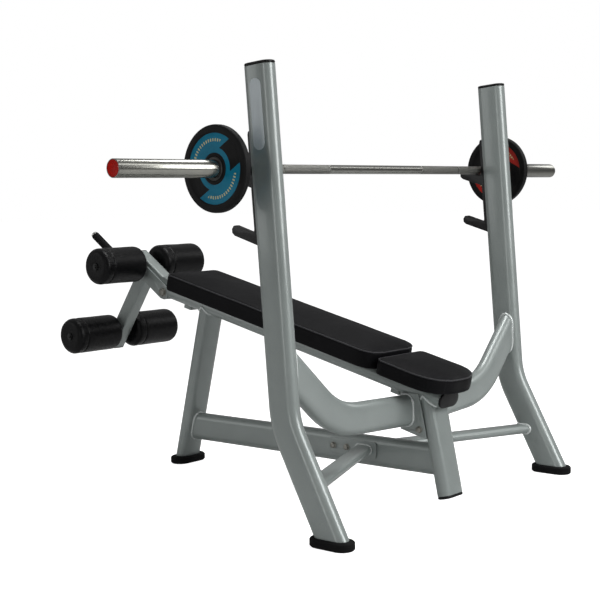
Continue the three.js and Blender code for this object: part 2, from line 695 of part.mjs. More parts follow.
function handleCapGeometry(start, end) {
  const { radius, edge } = HANDLE_CAP;
  return turnedAboutY([
    [0, start], [radius, start], [radius, end - edge], [radius - edge, end], [0, end],
  ], AROUND.rod);
}

function addRollers(hold, row, d, n) {
  const { radius, end, headRadius, headLength } = AXLE;
  const rowAxle = turnedAboutY([
    [0, -end - headLength], [headRadius, -end - headLength], [headRadius, -end], [radius, -end],
    [radius, end], [headRadius, end], [headRadius, end + headLength], [0, end + headLength],
  ], AROUND.rod);
  piece(hold, `${row}_axle`, rowAxle, MATERIALS.zinc).position.set(d, 0, n);
  for (const [sideName, side] of Object.entries(SIDES)) {
    const roller = piece(hold, `${row}_roller_${sideName}`, rollerGeometry(), MATERIALS.foam);
    roller.position.set(d, 0, n);
    if (side < 0) roller.rotation.x = Math.PI;
  }
}

function rollerGeometry() {
  const { radius, inner, outer, bore, round, roundSteps } = ROLLER;
  const quarter = (centreY, from) => Array.from({ length: roundSteps + 1 }, (_, i) => {
    const angle = from + i / roundSteps * Math.PI / 2;
    return [radius - round + round * Math.cos(angle), centreY + round * Math.sin(angle)];
  });
  return turnedAboutY([
    [bore, inner], ...quarter(inner + round, -Math.PI / 2), ...quarter(outer - round, 0),
    [bore, outer], [bore, inner],
  ], AROUND.roller);
}

// ---------- barbell ----------

// The bar lies in the corner between the upper arm and the strip of each hook.
function barSeat() {
  const { strip, reach, rise, lowerTip, spacing, armWidth } = HOOK;
  const clear = BAR.shaftRadius + BAR.seatGap;
  const out = strip + clear;
  const up = lowerTip + spacing - (reach - out) * Math.tan(rise) + (armWidth / 2 + clear) / Math.cos(rise);
  return new THREE.Vector3(-FRAME_TUBE.long / 2 - GAP - out, 0, up)
    .applyAxisAngle(new THREE.Vector3(0, 1, 0), -UPRIGHT.upperLean)
    .add(new THREE.Vector3(UPRIGHT.bend.x, 0, UPRIGHT.bend.z));
}

function addBarbell(parent) {
  const barbell = new THREE.Group();
  barbell.position.copy(barSeat());
  parent.add(barbell);
  const { shaftRadius, halfLength } = BAR;
  const shaft = new THREE.CylinderGeometry(shaftRadius, shaftRadius, 2 * halfLength, AROUND.bar);
  piece(barbell, 'bar_shaft', shaft, MATERIALS.chrome);
  for (const [sideName, side] of Object.entries(SIDES)) {
    const end = new THREE.Group();
    if (side < 0) end.rotation.x = Math.PI;
    barbell.add(end);
    piece(end, `sleeve_${sideName}`, sleeveGeometry(), MATERIALS.chrome);
    piece(end, `sleeve_cap_${sideName}`, endCapGeometry(), MATERIALS.redCap);
    piece(end, `weight_plate_${sideName}`, plateGeometry(), MATERIALS.rubber);
    piece(end, `plate_insert_${sideName}`, insertGeometry(), MATERIALS.chrome);
  }
}

function sleeveGeometry() {
  const { radius, bore, start, hubRadius, collarStart, collarEnd, collarRadius, end } = SLEEVE;
  return turnedAboutY([
    [bore, start], [hubRadius, start], [hubRadius, collarStart], [collarRadius, collarStart],
    [collarRadius, collarEnd], [radius, collarEnd], [radius, end], [bore, end], [bore, start],
  ]);
}

function endCapGeometry() {
  const { radius } = SLEEVE;
  const { thickness, edge } = END_CAP;
  const start = SLEEVE.end + GAP;
  const end = start + thickness;
  return turnedAboutY([[0, start], [radius, start], [radius, end - edge], [radius - edge, end], [0, end]]);
}

const plateStart = SLEEVE.collarEnd + GAP;

// A rubber disc with a raised rim and boss on both faces, around its steel insert.
function plateGeometry() {
  const { radius, thickness, boss, rim, recess, edge } = PLATE;
  const hole = INSERT.radius + GAP;
  const face = (at, inward) => [
    [hole, at], [boss, at], [boss + recess, at + inward * recess], [rim - recess, at + inward * recess],
    [rim, at], [radius - edge, at], [radius, at + inward * edge],
  ];
  const front = face(plateStart, 1);
  const back = face(plateStart + thickness, -1).reverse();
  return turnedAboutY([...front, ...back, front[0]], AROUND.plate);
}

function insertGeometry() {
  const { radius, bore, proud, edge } = INSERT;
  const end = plateStart + PLATE.thickness + proud;
  return turnedAboutY([
    [bore, plateStart], [radius, plateStart], [radius, end - edge], [radius - edge, end],
    [bore, end], [bore, plateStart],
  ]);
}

// ---------- the whole object ----------

const benchPress = new THREE.Group();
benchPress.position.x = FOOTPRINT_SHIFT;
addSpine(benchPress);
addLegs(benchPress);
addBadge(addUpright(benchPress, 'left'));
addUpright(benchPress, 'right');
addArmMount(benchPress);
addBraces(benchPress);
addBench(benchPress);
addPivotBracket(benchPress);
addLegHold(benchPress);
addBarbell(benchPress);

export default benchPress;
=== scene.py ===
"""An olympic decline bench press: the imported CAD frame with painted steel, upholstery and a chromed bar."""

import json
import math

import bmesh
import bpy
import numpy as np
from mathutils import Matrix, Vector, noise
from mathutils.bvhtree import BVHTree


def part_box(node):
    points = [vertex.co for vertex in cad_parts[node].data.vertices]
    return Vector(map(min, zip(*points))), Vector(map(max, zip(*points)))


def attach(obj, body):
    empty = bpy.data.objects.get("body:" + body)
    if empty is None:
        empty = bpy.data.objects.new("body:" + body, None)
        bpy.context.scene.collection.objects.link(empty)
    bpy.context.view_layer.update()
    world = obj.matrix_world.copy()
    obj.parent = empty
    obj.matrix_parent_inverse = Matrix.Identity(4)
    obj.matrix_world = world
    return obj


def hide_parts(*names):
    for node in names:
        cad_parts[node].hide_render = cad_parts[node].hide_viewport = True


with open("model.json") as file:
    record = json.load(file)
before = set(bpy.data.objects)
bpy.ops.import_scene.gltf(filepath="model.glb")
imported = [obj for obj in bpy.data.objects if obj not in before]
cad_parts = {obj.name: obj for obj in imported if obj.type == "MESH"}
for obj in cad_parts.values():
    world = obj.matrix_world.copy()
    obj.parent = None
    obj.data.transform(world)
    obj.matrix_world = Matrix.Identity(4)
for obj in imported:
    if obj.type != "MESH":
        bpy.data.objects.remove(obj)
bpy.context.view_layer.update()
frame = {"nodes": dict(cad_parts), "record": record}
nodes = frame["nodes"]
scene = bpy.context.scene

# Left and right are those of someone lying on the bench.
SIDES = {"left": -1, "right": 1}
ACROSS = Vector((0, 1, 0))
# Vertices closer than this are merged.
SAME_PLACE = 1e-5


# ---- measuring the frame ----

def places(obj):
    """An object's vertices, one to a row."""
    return np.array([v.co for v in obj.data.vertices], float)


def middle_of(node):
    low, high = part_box(node)
    return (low + high) / 2


def radius_of(node):
    """The radius of a node that is round about a line across the bench."""
    low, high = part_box(node)
    return (high.z - low.z) / 2


def span(node, side):
    """How far from the bench's middle plane a node on one side starts and ends."""
    low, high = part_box(node)
    return (low.y, high.y) if side == "right" else (-high.y, -low.y)


def long_axis(node):
    """The direction in which a node is longest."""
    centred = places(nodes[node])
    centred -= centred.mean(axis=0)
    return Vector(np.linalg.svd(centred.T @ centred)[0][:, 0])


def box_along(node, axes):
    """Lowest and highest corner of a node, measured along the columns of axes."""
    local = places(nodes[node]) @ np.array(axes)
    return Vector(local.min(axis=0)), Vector(local.max(axis=0))


bar_centre = middle_of("bar_shaft")
bar_radius = radius_of("bar_shaft")


# ---- materials ----

class Graph:
    """A material whose nodes are added and joined in short calls."""

    def __init__(self, name):
        self.material = bpy.data.materials.new(name)
        self.material.use_nodes = True
        self.tree = self.material.node_tree
        self.shader = self.tree.nodes["Principled BSDF"]
        self.place = self.add("ShaderNodeTexCoord").outputs["Object"]

    def add(self, kind, inputs=(), **settings):
        made = self.tree.nodes.new(kind)
        for key, value in settings.items():
            setattr(made, key, value)
        for key, value in dict(inputs).items():
            self.put(made.inputs[key], value)
        return made

    def put(self, socket, value):
        """Links an output to a socket, or sets a plain value on it."""
        if isinstance(value, bpy.types.NodeSocket):
            self.tree.links.new(value, socket)
        else:
            socket.default_value = value

    def surface(self, **values):
        """Feeds the shader's sockets."""
        for key, value in values.items():
            self.put(self.shader.inputs[key.replace("_", " ").title().replace("Ior", "IOR")], value)

    def math(self, operation, first, second=0.0):
        return self.add("ShaderNodeMath", {0: first, 1: second}, operation=operation).outputs[0]

    def times(self, first, second):
        return self.math("MULTIPLY", first, second)

    def within(self, value, low, high):
        """1 between two limits, 0 outside them."""
        return self.times(self.math("GREATER_THAN", value, low), self.math("LESS_THAN", value, high))

    def noise(self, scale, detail=3.0, roughness=0.5):
        inputs = {"Vector": self.place, "Scale": scale, "Detail": detail, "Roughness": roughness}
        return self.add("ShaderNodeTexNoise", inputs).outputs["Fac"]

    def pebbles(self, scale):
        """Rounded cells, 1 / scale metres across."""
        inputs = {"Vector": self.place, "Scale": scale}
        return self.add("ShaderNodeTexVoronoi", inputs, feature="SMOOTH_F1").outputs["Distance"]

    def between(self, value, low, high, to_low=0.0, to_high=1.0):
        inputs = {"Value": value, "From Min": low, "From Max": high, "To Min": to_low, "To Max": to_high}
        return self.add("ShaderNodeMapRange", inputs).outputs["Result"]

    def mix(self, share, first, second):
        return self.add("ShaderNodeMix", {0: share, 6: first, 7: second}, data_type="RGBA").outputs[2]

    def bump(self, height, distance, strength=1.0, under=None):
        made = self.add("ShaderNodeBump", {"Height": height, "Distance": distance, "Strength": strength})
        if under is not None:
            self.put(made.inputs["Normal"], under)
        return made.outputs["Normal"]

    def rounded(self, radius):
        """A normal that runs smoothly round sharp edges."""
        return self.add("ShaderNodeBevel", {"Radius": radius}, samples=4).outputs["Normal"]

    def edges(self, rounded):
        """1 along edges and corners, 0 on open faces."""
        flat = self.add("ShaderNodeNewGeometry").outputs["Normal"]
        dot = self.add("ShaderNodeVectorMath", {0: rounded, 1: flat}, operation="DOT_PRODUCT")
        return self.between(dot.outputs["Value"], 0.985, 0.85)

    def mottle(self, pattern, start, end, tone, factor, roughness, spread, metallic=0.0):
        """Colour and roughness that vary together over a pattern."""
        varied = self.between(pattern, 0.35, 0.7, roughness, roughness + spread)
        self.surface(base_color=self.mix(self.between(pattern, start, end), tone, shaded(tone, factor)),
                     roughness=varied, metallic=metallic)

    def coordinates(self):
        outputs = self.add("ShaderNodeSeparateXYZ", {"Vector": self.place}).outputs
        return outputs["X"], outputs["Y"], outputs["Z"]


def srgb(red, green, blue):
    """A linear colour from 0-255 display values."""
    def linear(value):
        share = value / 255
        return share / 12.92 if share <= 0.04045 else ((share + 0.055) / 1.055) ** 2.4

    return (linear(red), linear(green), linear(blue), 1.0)


def shaded(tone, factor):
    """A colour made lighter or darker."""
    return [min(1.0, channel * factor) for channel in tone[:3]] + [1.0]


def painted_steel(name, light, dark, wear, metallic, roughness, coat):
    """Powder coat: fine flake, orange peel, a few scuffs, and paint rubbed thin along edges."""
    g = Graph(name)
    flake = g.noise(1400, 1.0)
    cloud = g.noise(5, 4.0)
    tone = g.mix(g.between(cloud, 0.35, 0.65), dark, light)
    tone = g.mix(g.between(flake, 0.56, 0.72, 0.0, 0.35), tone, shaded(light, 1.5))
    rounded = g.rounded(0.0012)
    patches = g.between(g.noise(60, 5.0, 0.7), 0.5, 0.68)
    wear_and_groove_tone = g.times(g.times(g.edges(rounded), patches), 0.7)
    g.surface(base_color=g.mix(wear_and_groove_tone, tone, wear), metallic=metallic)
    scuffs = g.times(g.between(g.noise(35, 6.0, 0.75), 0.58, 0.8), 0.12)
    uneven = g.between(cloud, 0.3, 0.7, roughness - 0.03, roughness + 0.05)
    g.surface(roughness=g.math("ADD", uneven, scuffs))
    peel = g.bump(g.noise(260, 2.0), 0.00035, 0.35, rounded)
    g.surface(normal=g.bump(flake, 0.0001, 0.2, peel))
    g.surface(coat_weight=coat, coat_roughness=0.1, specular_ior_level=0.4)
    return g.material


def rubber(name, tone, roughness):
    """Moulded rubber: a matt, faintly dusty skin with a fine stipple."""
    g = Graph(name)
    dust = g.between(g.noise(22, 5.0, 0.65), 0.45, 0.75)
    g.surface(base_color=g.mix(g.times(dust, 0.5), tone, shaded(tone, 2.6)))
    g.surface(roughness=g.between(dust, 0, 1, roughness, roughness + 0.12), specular_ior_level=0.15)
    g.surface(normal=g.bump(g.noise(900, 2.0), 0.0002, 0.5, g.rounded(0.0015)))
    return g.material


def leather(name, tone, roughness, grain, shine):
    """Grained vinyl: pebbles of about 1 / grain metres, soft creases, slight polish where it is rubbed."""
    g = Graph(name)
    pebble = g.pebbles(grain)
    crease = g.noise(46, 6.0, 0.7)
    cloud = g.noise(7, 4.0, 0.6)
    g.surface(base_color=g.mix(g.between(cloud, 0.35, 0.7), tone, shaded(tone, 1.5)))
    polish = g.between(cloud, 0.3, 0.7, roughness + 0.06, roughness - 0.04)
    g.surface(roughness=g.math("ADD", polish, g.times(pebble, 0.12)))
    g.surface(normal=g.bump(pebble, 0.0004, 0.8, g.bump(crease, 0.0010, 0.35)), specular_ior_level=shine)
    return g.material


def plated(name, tone, roughness, spread):
    """Zinc or nickel plate: brushed, with faint stains and brighter, rounded edges."""
    g = Graph(name)
    g.mottle(g.noise(90, 5.0, 0.7), 0.4, 0.7, tone, 0.72, roughness, spread, 1.0)
    g.surface(normal=g.bump(g.noise(1200, 2.0), 0.0001, 0.25, g.rounded(0.0007)))
    return g.material


def turned_chrome(name, tone, roughness):
    """Polished steel with the faint rings that a lathe leaves round the bar's own axis."""
    g = Graph(name)
    rings = g.math("SINE", g.times(g.coordinates()[1], 9000.0))
    g.mottle(g.noise(28, 5.0, 0.65), 0.4, 0.75, tone, 0.88, roughness, 0.05, 1.0)
    g.surface(normal=g.bump(rings, 0.00001, 0.15))
    return g.material


def moulded_plastic(name, tone, roughness, shine):
    """Moulded plastic: a fine grain and a slightly uneven shine."""
    g = Graph(name)
    g.mottle(g.noise(30, 4.0, 0.6), 0.4, 0.7, tone, 1.35, roughness, 0.1)
    grain = g.bump(g.noise(700, 3.0), 0.00015, 0.35, g.rounded(0.001))
    g.surface(normal=grain, specular_ior_level=shine)
    return g.material


def brushed_foil(name, tone):
    """The blank badge: silver foil brushed along its length under a clear coat."""
    g = Graph(name)
    stretched = g.add("ShaderNodeMapping", {"Vector": g.place, "Scale": (900.0, 900.0, 12.0)}).outputs[0]
    brushed = g.add("ShaderNodeTexNoise", {"Vector": stretched, "Scale": 1.0, "Detail": 3.0}).outputs["Fac"]
    g.surface(base_color=g.mix(g.between(brushed, 0.35, 0.65), tone, shaded(tone, 0.9)), metallic=0.15)
    g.surface(roughness=g.between(brushed, 0.3, 0.7, 0.44, 0.56), normal=g.bump(brushed, 0.00008, 0.3))
    return g.material


# Distances from the bar's middle, and the pitch of its diamonds.
KNURL = {"start": 0.240, "end": 0.640, "ring": 0.455, "ring_half_width": 0.0025, "pitch": 0.0014}


def knurled_chrome(name, tone, roughness):
    """The bar: polished in the middle, with crossed diamond knurling from grip to hook on both halves."""
    g = Graph(name)
    x, y, z = g.coordinates()
    turn = g.math("ARCTAN2", g.math("SUBTRACT", z, bar_centre.z), g.math("SUBTRACT", x, bar_centre.x))
    diamonds = round(2 * math.pi * bar_radius / KNURL["pitch"])
    wound = g.times(turn, diamonds / 2)
    rising = g.times(y, math.pi / KNURL["pitch"])
    first = g.math("ABSOLUTE", g.math("SINE", g.math("ADD", rising, wound)))
    second = g.math("ABSOLUTE", g.math("SINE", g.math("SUBTRACT", rising, wound)))
    diamond = g.math("MINIMUM", first, second)
    out = g.math("ABSOLUTE", y)
    off_ring = g.math("ABSOLUTE", g.math("SUBTRACT", out, KNURL["ring"]))
    on_ring = g.math("LESS_THAN", off_ring, KNURL["ring_half_width"])
    knurled = g.times(g.within(out, KNURL["start"], KNURL["end"]), g.math("SUBTRACT", 1.0, on_ring))
    smudge = g.noise(28, 5.0, 0.65)
    plain = g.mix(g.between(smudge, 0.4, 0.75), tone, shaded(tone, 0.8))
    # The knurled colour: darker along the grooves, full tone on the tops of the diamonds.
    wear_and_groove_tone = g.mix(diamond, shaded(tone, 0.45), tone)
    g.surface(base_color=g.mix(knurled, plain, wear_and_groove_tone), metallic=1.0)
    smeared = g.between(smudge, 0.35, 0.7, roughness, roughness + 0.1)
    g.surface(roughness=g.math("ADD", g.times(knurled, 0.2), smeared))
    g.surface(normal=g.bump(g.times(diamond, knurled), 0.0004, 0.8))
    return g.material


# The radii of a plate's print, coloured all round inside ring, and its row of plain dashes.
PRINT = {"inner": 0.0445, "ring": 0.060, "outer": 0.099}
DASHES = {"count": 56.0, "ring": 0.080, "half_length": 0.0042, "from_band": 0.014, "ink": srgb(190, 186, 140)}


def printed_rubber(name, centre, ink, band_angle, band_half_width):
    """A plate's face: a coloured print on the sunk ring, left black along a band across the middle."""
    g = Graph(name)
    x, _, z = g.coordinates()
    right = g.math("SUBTRACT", x, centre.x)
    high = g.math("SUBTRACT", z, centre.z)
    radius = g.math("SQRT", g.math("ADD", g.times(right, right), g.times(high, high)))
    past_band = g.math("SUBTRACT", g.times(right, math.sin(band_angle)), g.times(high, math.cos(band_angle)))
    off_band = g.math("ABSOLUTE", past_band)
    on_lobe = g.math("GREATER_THAN", off_band, band_half_width)
    on_arc = g.math("MAXIMUM", on_lobe, g.math("LESS_THAN", radius, PRINT["ring"]))
    on_print = g.times(on_arc, g.within(radius, PRINT["inner"], PRINT["outer"]))
    turn = g.math("ARCTAN2", high, right)
    dash = g.math("GREATER_THAN", g.math("SINE", g.times(turn, DASHES["count"])), 0.1)
    off_row = g.math("ABSOLUTE", g.math("SUBTRACT", radius, DASHES["ring"]))
    clear = g.math("GREATER_THAN", off_band, band_half_width + DASHES["from_band"])
    on_row = g.times(g.math("LESS_THAN", off_row, DASHES["half_length"]), clear)
    scuff = g.between(g.noise(55, 6.0, 0.75), 0.52, 0.75)
    inked = g.mix(g.times(dash, on_row), ink, DASHES["ink"])
    worn_ink = g.mix(g.times(scuff, 0.35), inked, shaded(ink, 0.35))
    worn_black = g.mix(g.times(scuff, 0.4), srgb(7, 7, 8), srgb(22, 21, 21))
    g.surface(base_color=g.mix(on_print, worn_black, worn_ink), specular_ior_level=0.18)
    g.surface(roughness=g.between(on_print, 0, 1, 0.55, 0.42), normal=g.bump(g.noise(800, 2.0), 0.0002, 0.4))
    return g.material


FRAME_PAINT = painted_steel("frame_paint", srgb(142, 149, 147), srgb(134, 141, 139), srgb(100, 104, 102),
                            metallic=0.2, roughness=0.32, coat=0.35)
# The weld beads wear the frame's paint made far lighter, as a painted highlight along each seam; their extra
# gloss is real.
WELD_HIGHLIGHT_PAINT = painted_steel("weld_paint_painted_highlight", srgb(212, 218, 216), srgb(170, 177, 175), srgb(200, 204, 202),
                           metallic=0.2, roughness=0.2, coat=0.9)
BLACK_STEEL = painted_steel("black_steel", srgb(13, 13, 14), srgb(9, 9, 10), srgb(56, 56, 55),
                            metallic=0.0, roughness=0.45, coat=0.12)
RUBBER = rubber("black_rubber", srgb(8, 8, 9), roughness=0.7)
PLASTIC = moulded_plastic("black_plastic", srgb(9, 9, 10), roughness=0.42, shine=0.25)
VINYL = leather("pad_vinyl", srgb(6, 6, 8), roughness=0.45, grain=700, shine=0.1)
# The piping is the pads' black vinyl painted much lighter, as a painted highlight along the sewn edge.
LIGHTENED_PIPING = leather("piping_vinyl_painted_highlight", srgb(50, 50, 52), roughness=0.32, grain=900, shine=0.15)
ROLLER_SKIN = leather("roller_vinyl", srgb(3, 3, 4), roughness=0.24, grain=900, shine=0.16)
ZINC = plated("zinc", srgb(150, 149, 142), roughness=0.3, spread=0.15)
CHROME = turned_chrome("chrome", srgb(146, 146, 140), roughness=0.18)
# The plates' bushes: the sleeves' chrome painted far darker, as painted shade for the dark reflections that
# they show.
SHADED_CHROME = turned_chrome("chrome_painted_shade", srgb(74, 74, 73), roughness=0.34)
BRIGHT_CAP = plated("bright_cap", srgb(216, 216, 212), roughness=0.25, spread=0.1)
SCREW = plated("screw_plate", srgb(205, 204, 196), roughness=0.28, spread=0.15)
KNURLED = knurled_chrome("knurled_chrome", srgb(146, 146, 141), roughness=0.18)
RED_PLASTIC = moulded_plastic("red_plastic", srgb(158, 14, 3), roughness=0.4, shine=0.08)
BADGE_FOIL = brushed_foil("badge_foil", srgb(196, 204, 207))

SLOT_MATERIALS = {
    "frame_paint": FRAME_PAINT, "black_steel": BLACK_STEEL, "black_rubber": RUBBER, "black_plastic": PLASTIC,
    "vinyl_upholstery": VINYL, "roller_foam": ROLLER_SKIN, "zinc": ZINC, "chrome": CHROME,
    "red_plastic": RED_PLASTIC, "badge_metal": BADGE_FOIL,
}


# ---- meshes ----

def piece(name, bm, material, body, replaced=()):
    """A finished mesh with its material, as a piece that rides on a body and hides the nodes that it
    replaces.
    """
    mesh = bpy.data.meshes.new(name)
    bmesh.ops.recalc_face_normals(bm, faces=bm.faces)
    bm.to_mesh(mesh)
    bm.free()
    mesh.materials.append(material)
    made = bpy.data.objects.new(name, mesh)
    scene.collection.objects.link(made)
    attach(made, body)
    if replaced:
        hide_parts(*replaced)
    return made


def smooth_group(limit):
    """Geometry nodes that merge split vertices and shade smooth where faces meet at less than the limit."""
    group = bpy.data.node_groups.new("smooth_by_angle", "GeometryNodeTree")
    for direction in ("INPUT", "OUTPUT"):
        group.interface.new_socket("Geometry", in_out=direction, socket_type="NodeSocketGeometry")
    new, join = group.nodes.new, group.links.new
    start, end = new("NodeGroupInput"), new("NodeGroupOutput")
    merge = new("GeometryNodeMergeByDistance")
    merge.inputs["Distance"].default_value = SAME_PLACE
    angle = new("GeometryNodeInputMeshEdgeAngle")
    compare = new("FunctionNodeCompare")
    compare.operation = "LESS_THAN"
    compare.inputs["B"].default_value = limit
    faces, sharp = new("GeometryNodeSetShadeSmooth"), new("GeometryNodeSetShadeSmooth")
    sharp.domain = "EDGE"
    join(start.outputs[0], merge.inputs["Geometry"])
    join(merge.outputs["Geometry"], faces.inputs["Geometry"])
    join(faces.outputs["Geometry"], sharp.inputs["Geometry"])
    join(angle.outputs["Unsigned Angle"], compare.inputs["A"])
    join(compare.outputs["Result"], sharp.inputs["Shade Smooth"])
    join(sharp.outputs["Geometry"], end.inputs[0])
    return group


SMOOTH = smooth_group(math.radians(38))


def shade(obj):
    """Shades an object smooth, apart from its sharp edges."""
    modifier = obj.modifiers.new("smooth_by_angle", "NODES")
    modifier.node_group = SMOOTH


def soften(obj, width):
    """Rounds the sharp edges of a sheet or plate."""
    weld = obj.modifiers.new("weld", "WELD")
    weld.merge_threshold = SAME_PLACE
    bevel = obj.modifiers.new("bevel", "BEVEL")
    bevel.width = width
    bevel.segments = 2
    bevel.limit_method = "ANGLE"
    bevel.angle_limit = math.radians(40)


def refine(obj):
    """Shades an object smooth all over and subdivides it once."""
    obj.data.shade_smooth()
    obj.modifiers.new("fine", "SUBSURF").levels = 1


def bridge(bm, rings, closed_ends=True, loop=False):
    """Faces between rings of vertices, with the ends filled, or the last ring joined to the first."""
    pairs = list(zip(rings, rings[1:]))
    if loop:
        pairs.append((rings[-1], rings[0]))
    for near, far in pairs:
        count = len(near)
        for i in range(count):
            bm.faces.new((near[i], near[(i + 1) % count], far[(i + 1) % count], far[i]))
    if closed_ends and not loop:
        bm.faces.new(rings[0])
        bm.faces.new(rings[-1])


def axes_from(along):
    """A matrix whose third column is along."""
    along = along.normalized()
    side = along.orthogonal().normalized()
    return Matrix((side, along.cross(side), along)).transposed()


def circle(sides):
    """Angles at even steps round a turn."""
    return [2 * math.pi * k / sides for k in range(sides)]


def turned(bm, rows, origin, axes, angles, solid=True, bumps=None):
    """Rings about an axis, one for each (radius, distance along) pair, joined up."""
    rings = []
    for radius, along in rows:
        ring = []
        for turn in angles:
            reach = radius + (bumps(turn, radius, along) if bumps else 0)
            corner = Vector((reach * math.cos(turn), reach * math.sin(turn), along))
            ring.append(bm.verts.new(origin + axes @ corner))
        rings.append(ring)
    bridge(bm, rings, closed_ends=solid, loop=not solid)


def lathe(profile, origin, along, segments=64, bumps=None):
    """A shape turned about a line: solid if its (radius, distance along) pairs start at 0, else hollow."""
    bm = bmesh.new()
    rows = [row for row in profile if row[0] > 0]
    turned(bm, rows, origin, axes_from(along), circle(segments), profile[0][0] == 0, bumps)
    return bm


def steps(radius, along, *moves):
    """Profile points, each a number of millimetres outward and along from one place."""
    return [(radius + out / 1000, along + on / 1000) for out, on in moves]


def arc(centre_radius, centre_along, radius, start, end, count=6):
    """Profile points on an arc, its angles in degrees from the outward direction."""
    angles = [math.radians(start + (end - start) * i / count) for i in range(count + 1)]
    return [(centre_radius + radius * math.cos(a), centre_along + radius * math.sin(a)) for a in angles]


def sweep(path, radius_at, sides=8):
    """A closed bead round a loop of points."""
    bm = bmesh.new()
    count = len(path)
    rings = []
    normal = None
    for i, point in enumerate(path):
        tangent = (path[(i + 1) % count] - path[i - 1]).normalized()
        normal = tangent.orthogonal() if normal is None else normal - tangent * normal.dot(tangent)
        normal.normalize()
        binormal = tangent.cross(normal)
        radius = radius_at(i)
        outward = [math.cos(t) * normal + math.sin(t) * binormal for t in circle(sides)]
        rings.append([bm.verts.new(point + radius * way) for way in outward])
    bridge(bm, rings, closed_ends=False)
    first, last = rings[0], rings[-1]
    twist = min(range(sides), key=lambda k: (last[k].co - first[0].co).length)
    last = last[twist:] + last[:twist]
    for k in range(sides):
        bm.faces.new((last[k], last[(k + 1) % sides], first[(k + 1) % sides], first[k]))
    return bm


def resampled(loop, step):
    """A closed loop of points at even steps."""
    lengths = [(loop[(i + 1) % len(loop)] - p).length for i, p in enumerate(loop)]
    total = sum(lengths)
    count = max(12, round(total / step))
    points, i, covered = [], 0, 0.0
    for k in range(count):
        want = total * k / count
        while covered + lengths[i] < want:
            covered += lengths[i]
            i += 1
        points.append(loop[i].lerp(loop[(i + 1) % len(loop)], (want - covered) / lengths[i]))
    return points


def tree_of(mesh):
    """A mesh's faces, for finding the nearest one to a point."""
    return BVHTree.FromPolygons([v.co for v in mesh.vertices], [p.vertices for p in mesh.polygons])


# ---- welds ----

# How near a seam lies to the other node, the least angle of its edge, and the bead's own measures.
WELD = {"reach": 0.0007, "angle": 0.5, "radius": 0.0040, "step": 0.0018, "ripple": 0.0060, "height": 0.0009,
        "lumps": 90}
LEG_WELDS = [("spine", "foot_leg"), ("spine", "head_post"), ("foot_leg", "pad_rail"),
             ("head_post", "pad_rail")]
SIDE_WELDS = [("arm", "upright"), ("arm", "arm_flange"), ("brace", "upright"), ("brace", "brace_flange")]


def seam_loop(part, against):
    """The longest loop of a node's sharp edges that lie against another node, or None."""
    bm = bmesh.new()
    bm.from_mesh(nodes[part].data)
    bmesh.ops.remove_doubles(bm, verts=bm.verts, dist=SAME_PLACE)
    tree = tree_of(nodes[against].data)
    close = {v for v in bm.verts if tree.find_nearest(v.co, WELD["reach"])[0] is not None}
    # A list and not a set, so that the walk round each loop is the same in every run.
    sharp = [
        e for e in bm.edges
        if close.issuperset(e.verts) and len(e.link_faces) == 2 and e.calc_face_angle() > WELD["angle"]
    ]
    loops = []
    while sharp:
        start, here = sharp.pop(0).verts
        loop = [start, here]
        while here is not start:
            onward = [e for e in here.link_edges if e in sharp]
            if not onward:
                break
            sharp.remove(onward[0])
            here = onward[0].other_vert(here)
            loop.append(here)
        if here is start:
            loops.append([v.co.copy() for v in loop[:-1]])
    bm.free()
    if not loops:
        return None
    return max(loops, key=lambda points: sum((a - b).length for a, b in zip(points, points[1:])))


def weld(part, against, body):
    """A rippled weld bead round the seam between two nodes."""
    loop = seam_loop(part, against)
    if loop is None:
        print("no seam between", part, against)
        return
    path = resampled(loop, WELD["step"])

    def radius_at(i):
        wave = abs(math.sin(math.pi * i * WELD["step"] / WELD["ripple"]))
        uneven = noise.noise(path[i] * WELD["lumps"])
        return WELD["radius"] + WELD["height"] * (wave + uneven)

    # The bead's lightened paint is a painted highlight.
    bead = piece(f"weld_{part}_to_{against}", sweep(path, radius_at), WELD_HIGHLIGHT_PAINT, body)
    bead.data.shade_smooth()


# ---- cushions ----

rail_axis = long_axis("pad_rail")
slope = rail_axis if rail_axis.x > 0 else -rail_axis
lift = slope.cross(ACROSS)
# Columns: down the bench to the head, across it, and up from it.
bench_axes = Matrix((slope, ACROSS, lift)).transposed()

# The sewn edge: how far below the cover's edge it lies, its groove, and its piping.
SEAM = {"drop": 0.004, "groove": 0.0016, "groove_width": 0.005, "cord_radius": 0.0024, "cord_proud": 0.0008}
# How far the cover may swell, and how deep its folds, slack and waist are.
COVER = {"swell": 0.007, "fold": 0.0007, "slack": 0.0006, "waist": 0.0022, "panel_depth": 0.012}
CLOTH_FRAMES = 20


def rounded_outline(half_long, half_wide, head_radius, foot_radius, count=10):
    """Points round a rectangle with one corner radius at its head end and one at its foot end."""
    points = []
    for quarter, (x, y) in enumerate(((1, 1), (-1, 1), (-1, -1), (1, -1))):
        radius = head_radius if x > 0 else foot_radius
        for i in range(count + 1):
            turn = math.pi / 2 * (quarter + i / count)
            points.append(Vector((
                x * (half_long - radius) + radius * math.cos(turn),
                y * (half_wide - radius) + radius * math.sin(turn), 0,
            )))
    return points


def ring_at(bm, plan, inset, height):
    """A ring of vertices at a height, inside the pad's plan by an inset."""
    half_long, half_wide, corners = plan
    radii = [max(corner - inset, 0.004) for corner in corners]
    outline = rounded_outline(half_long - inset, half_wide - inset, *radii)
    return [bm.verts.new(p + Vector((0, 0, height))) for p in outline]


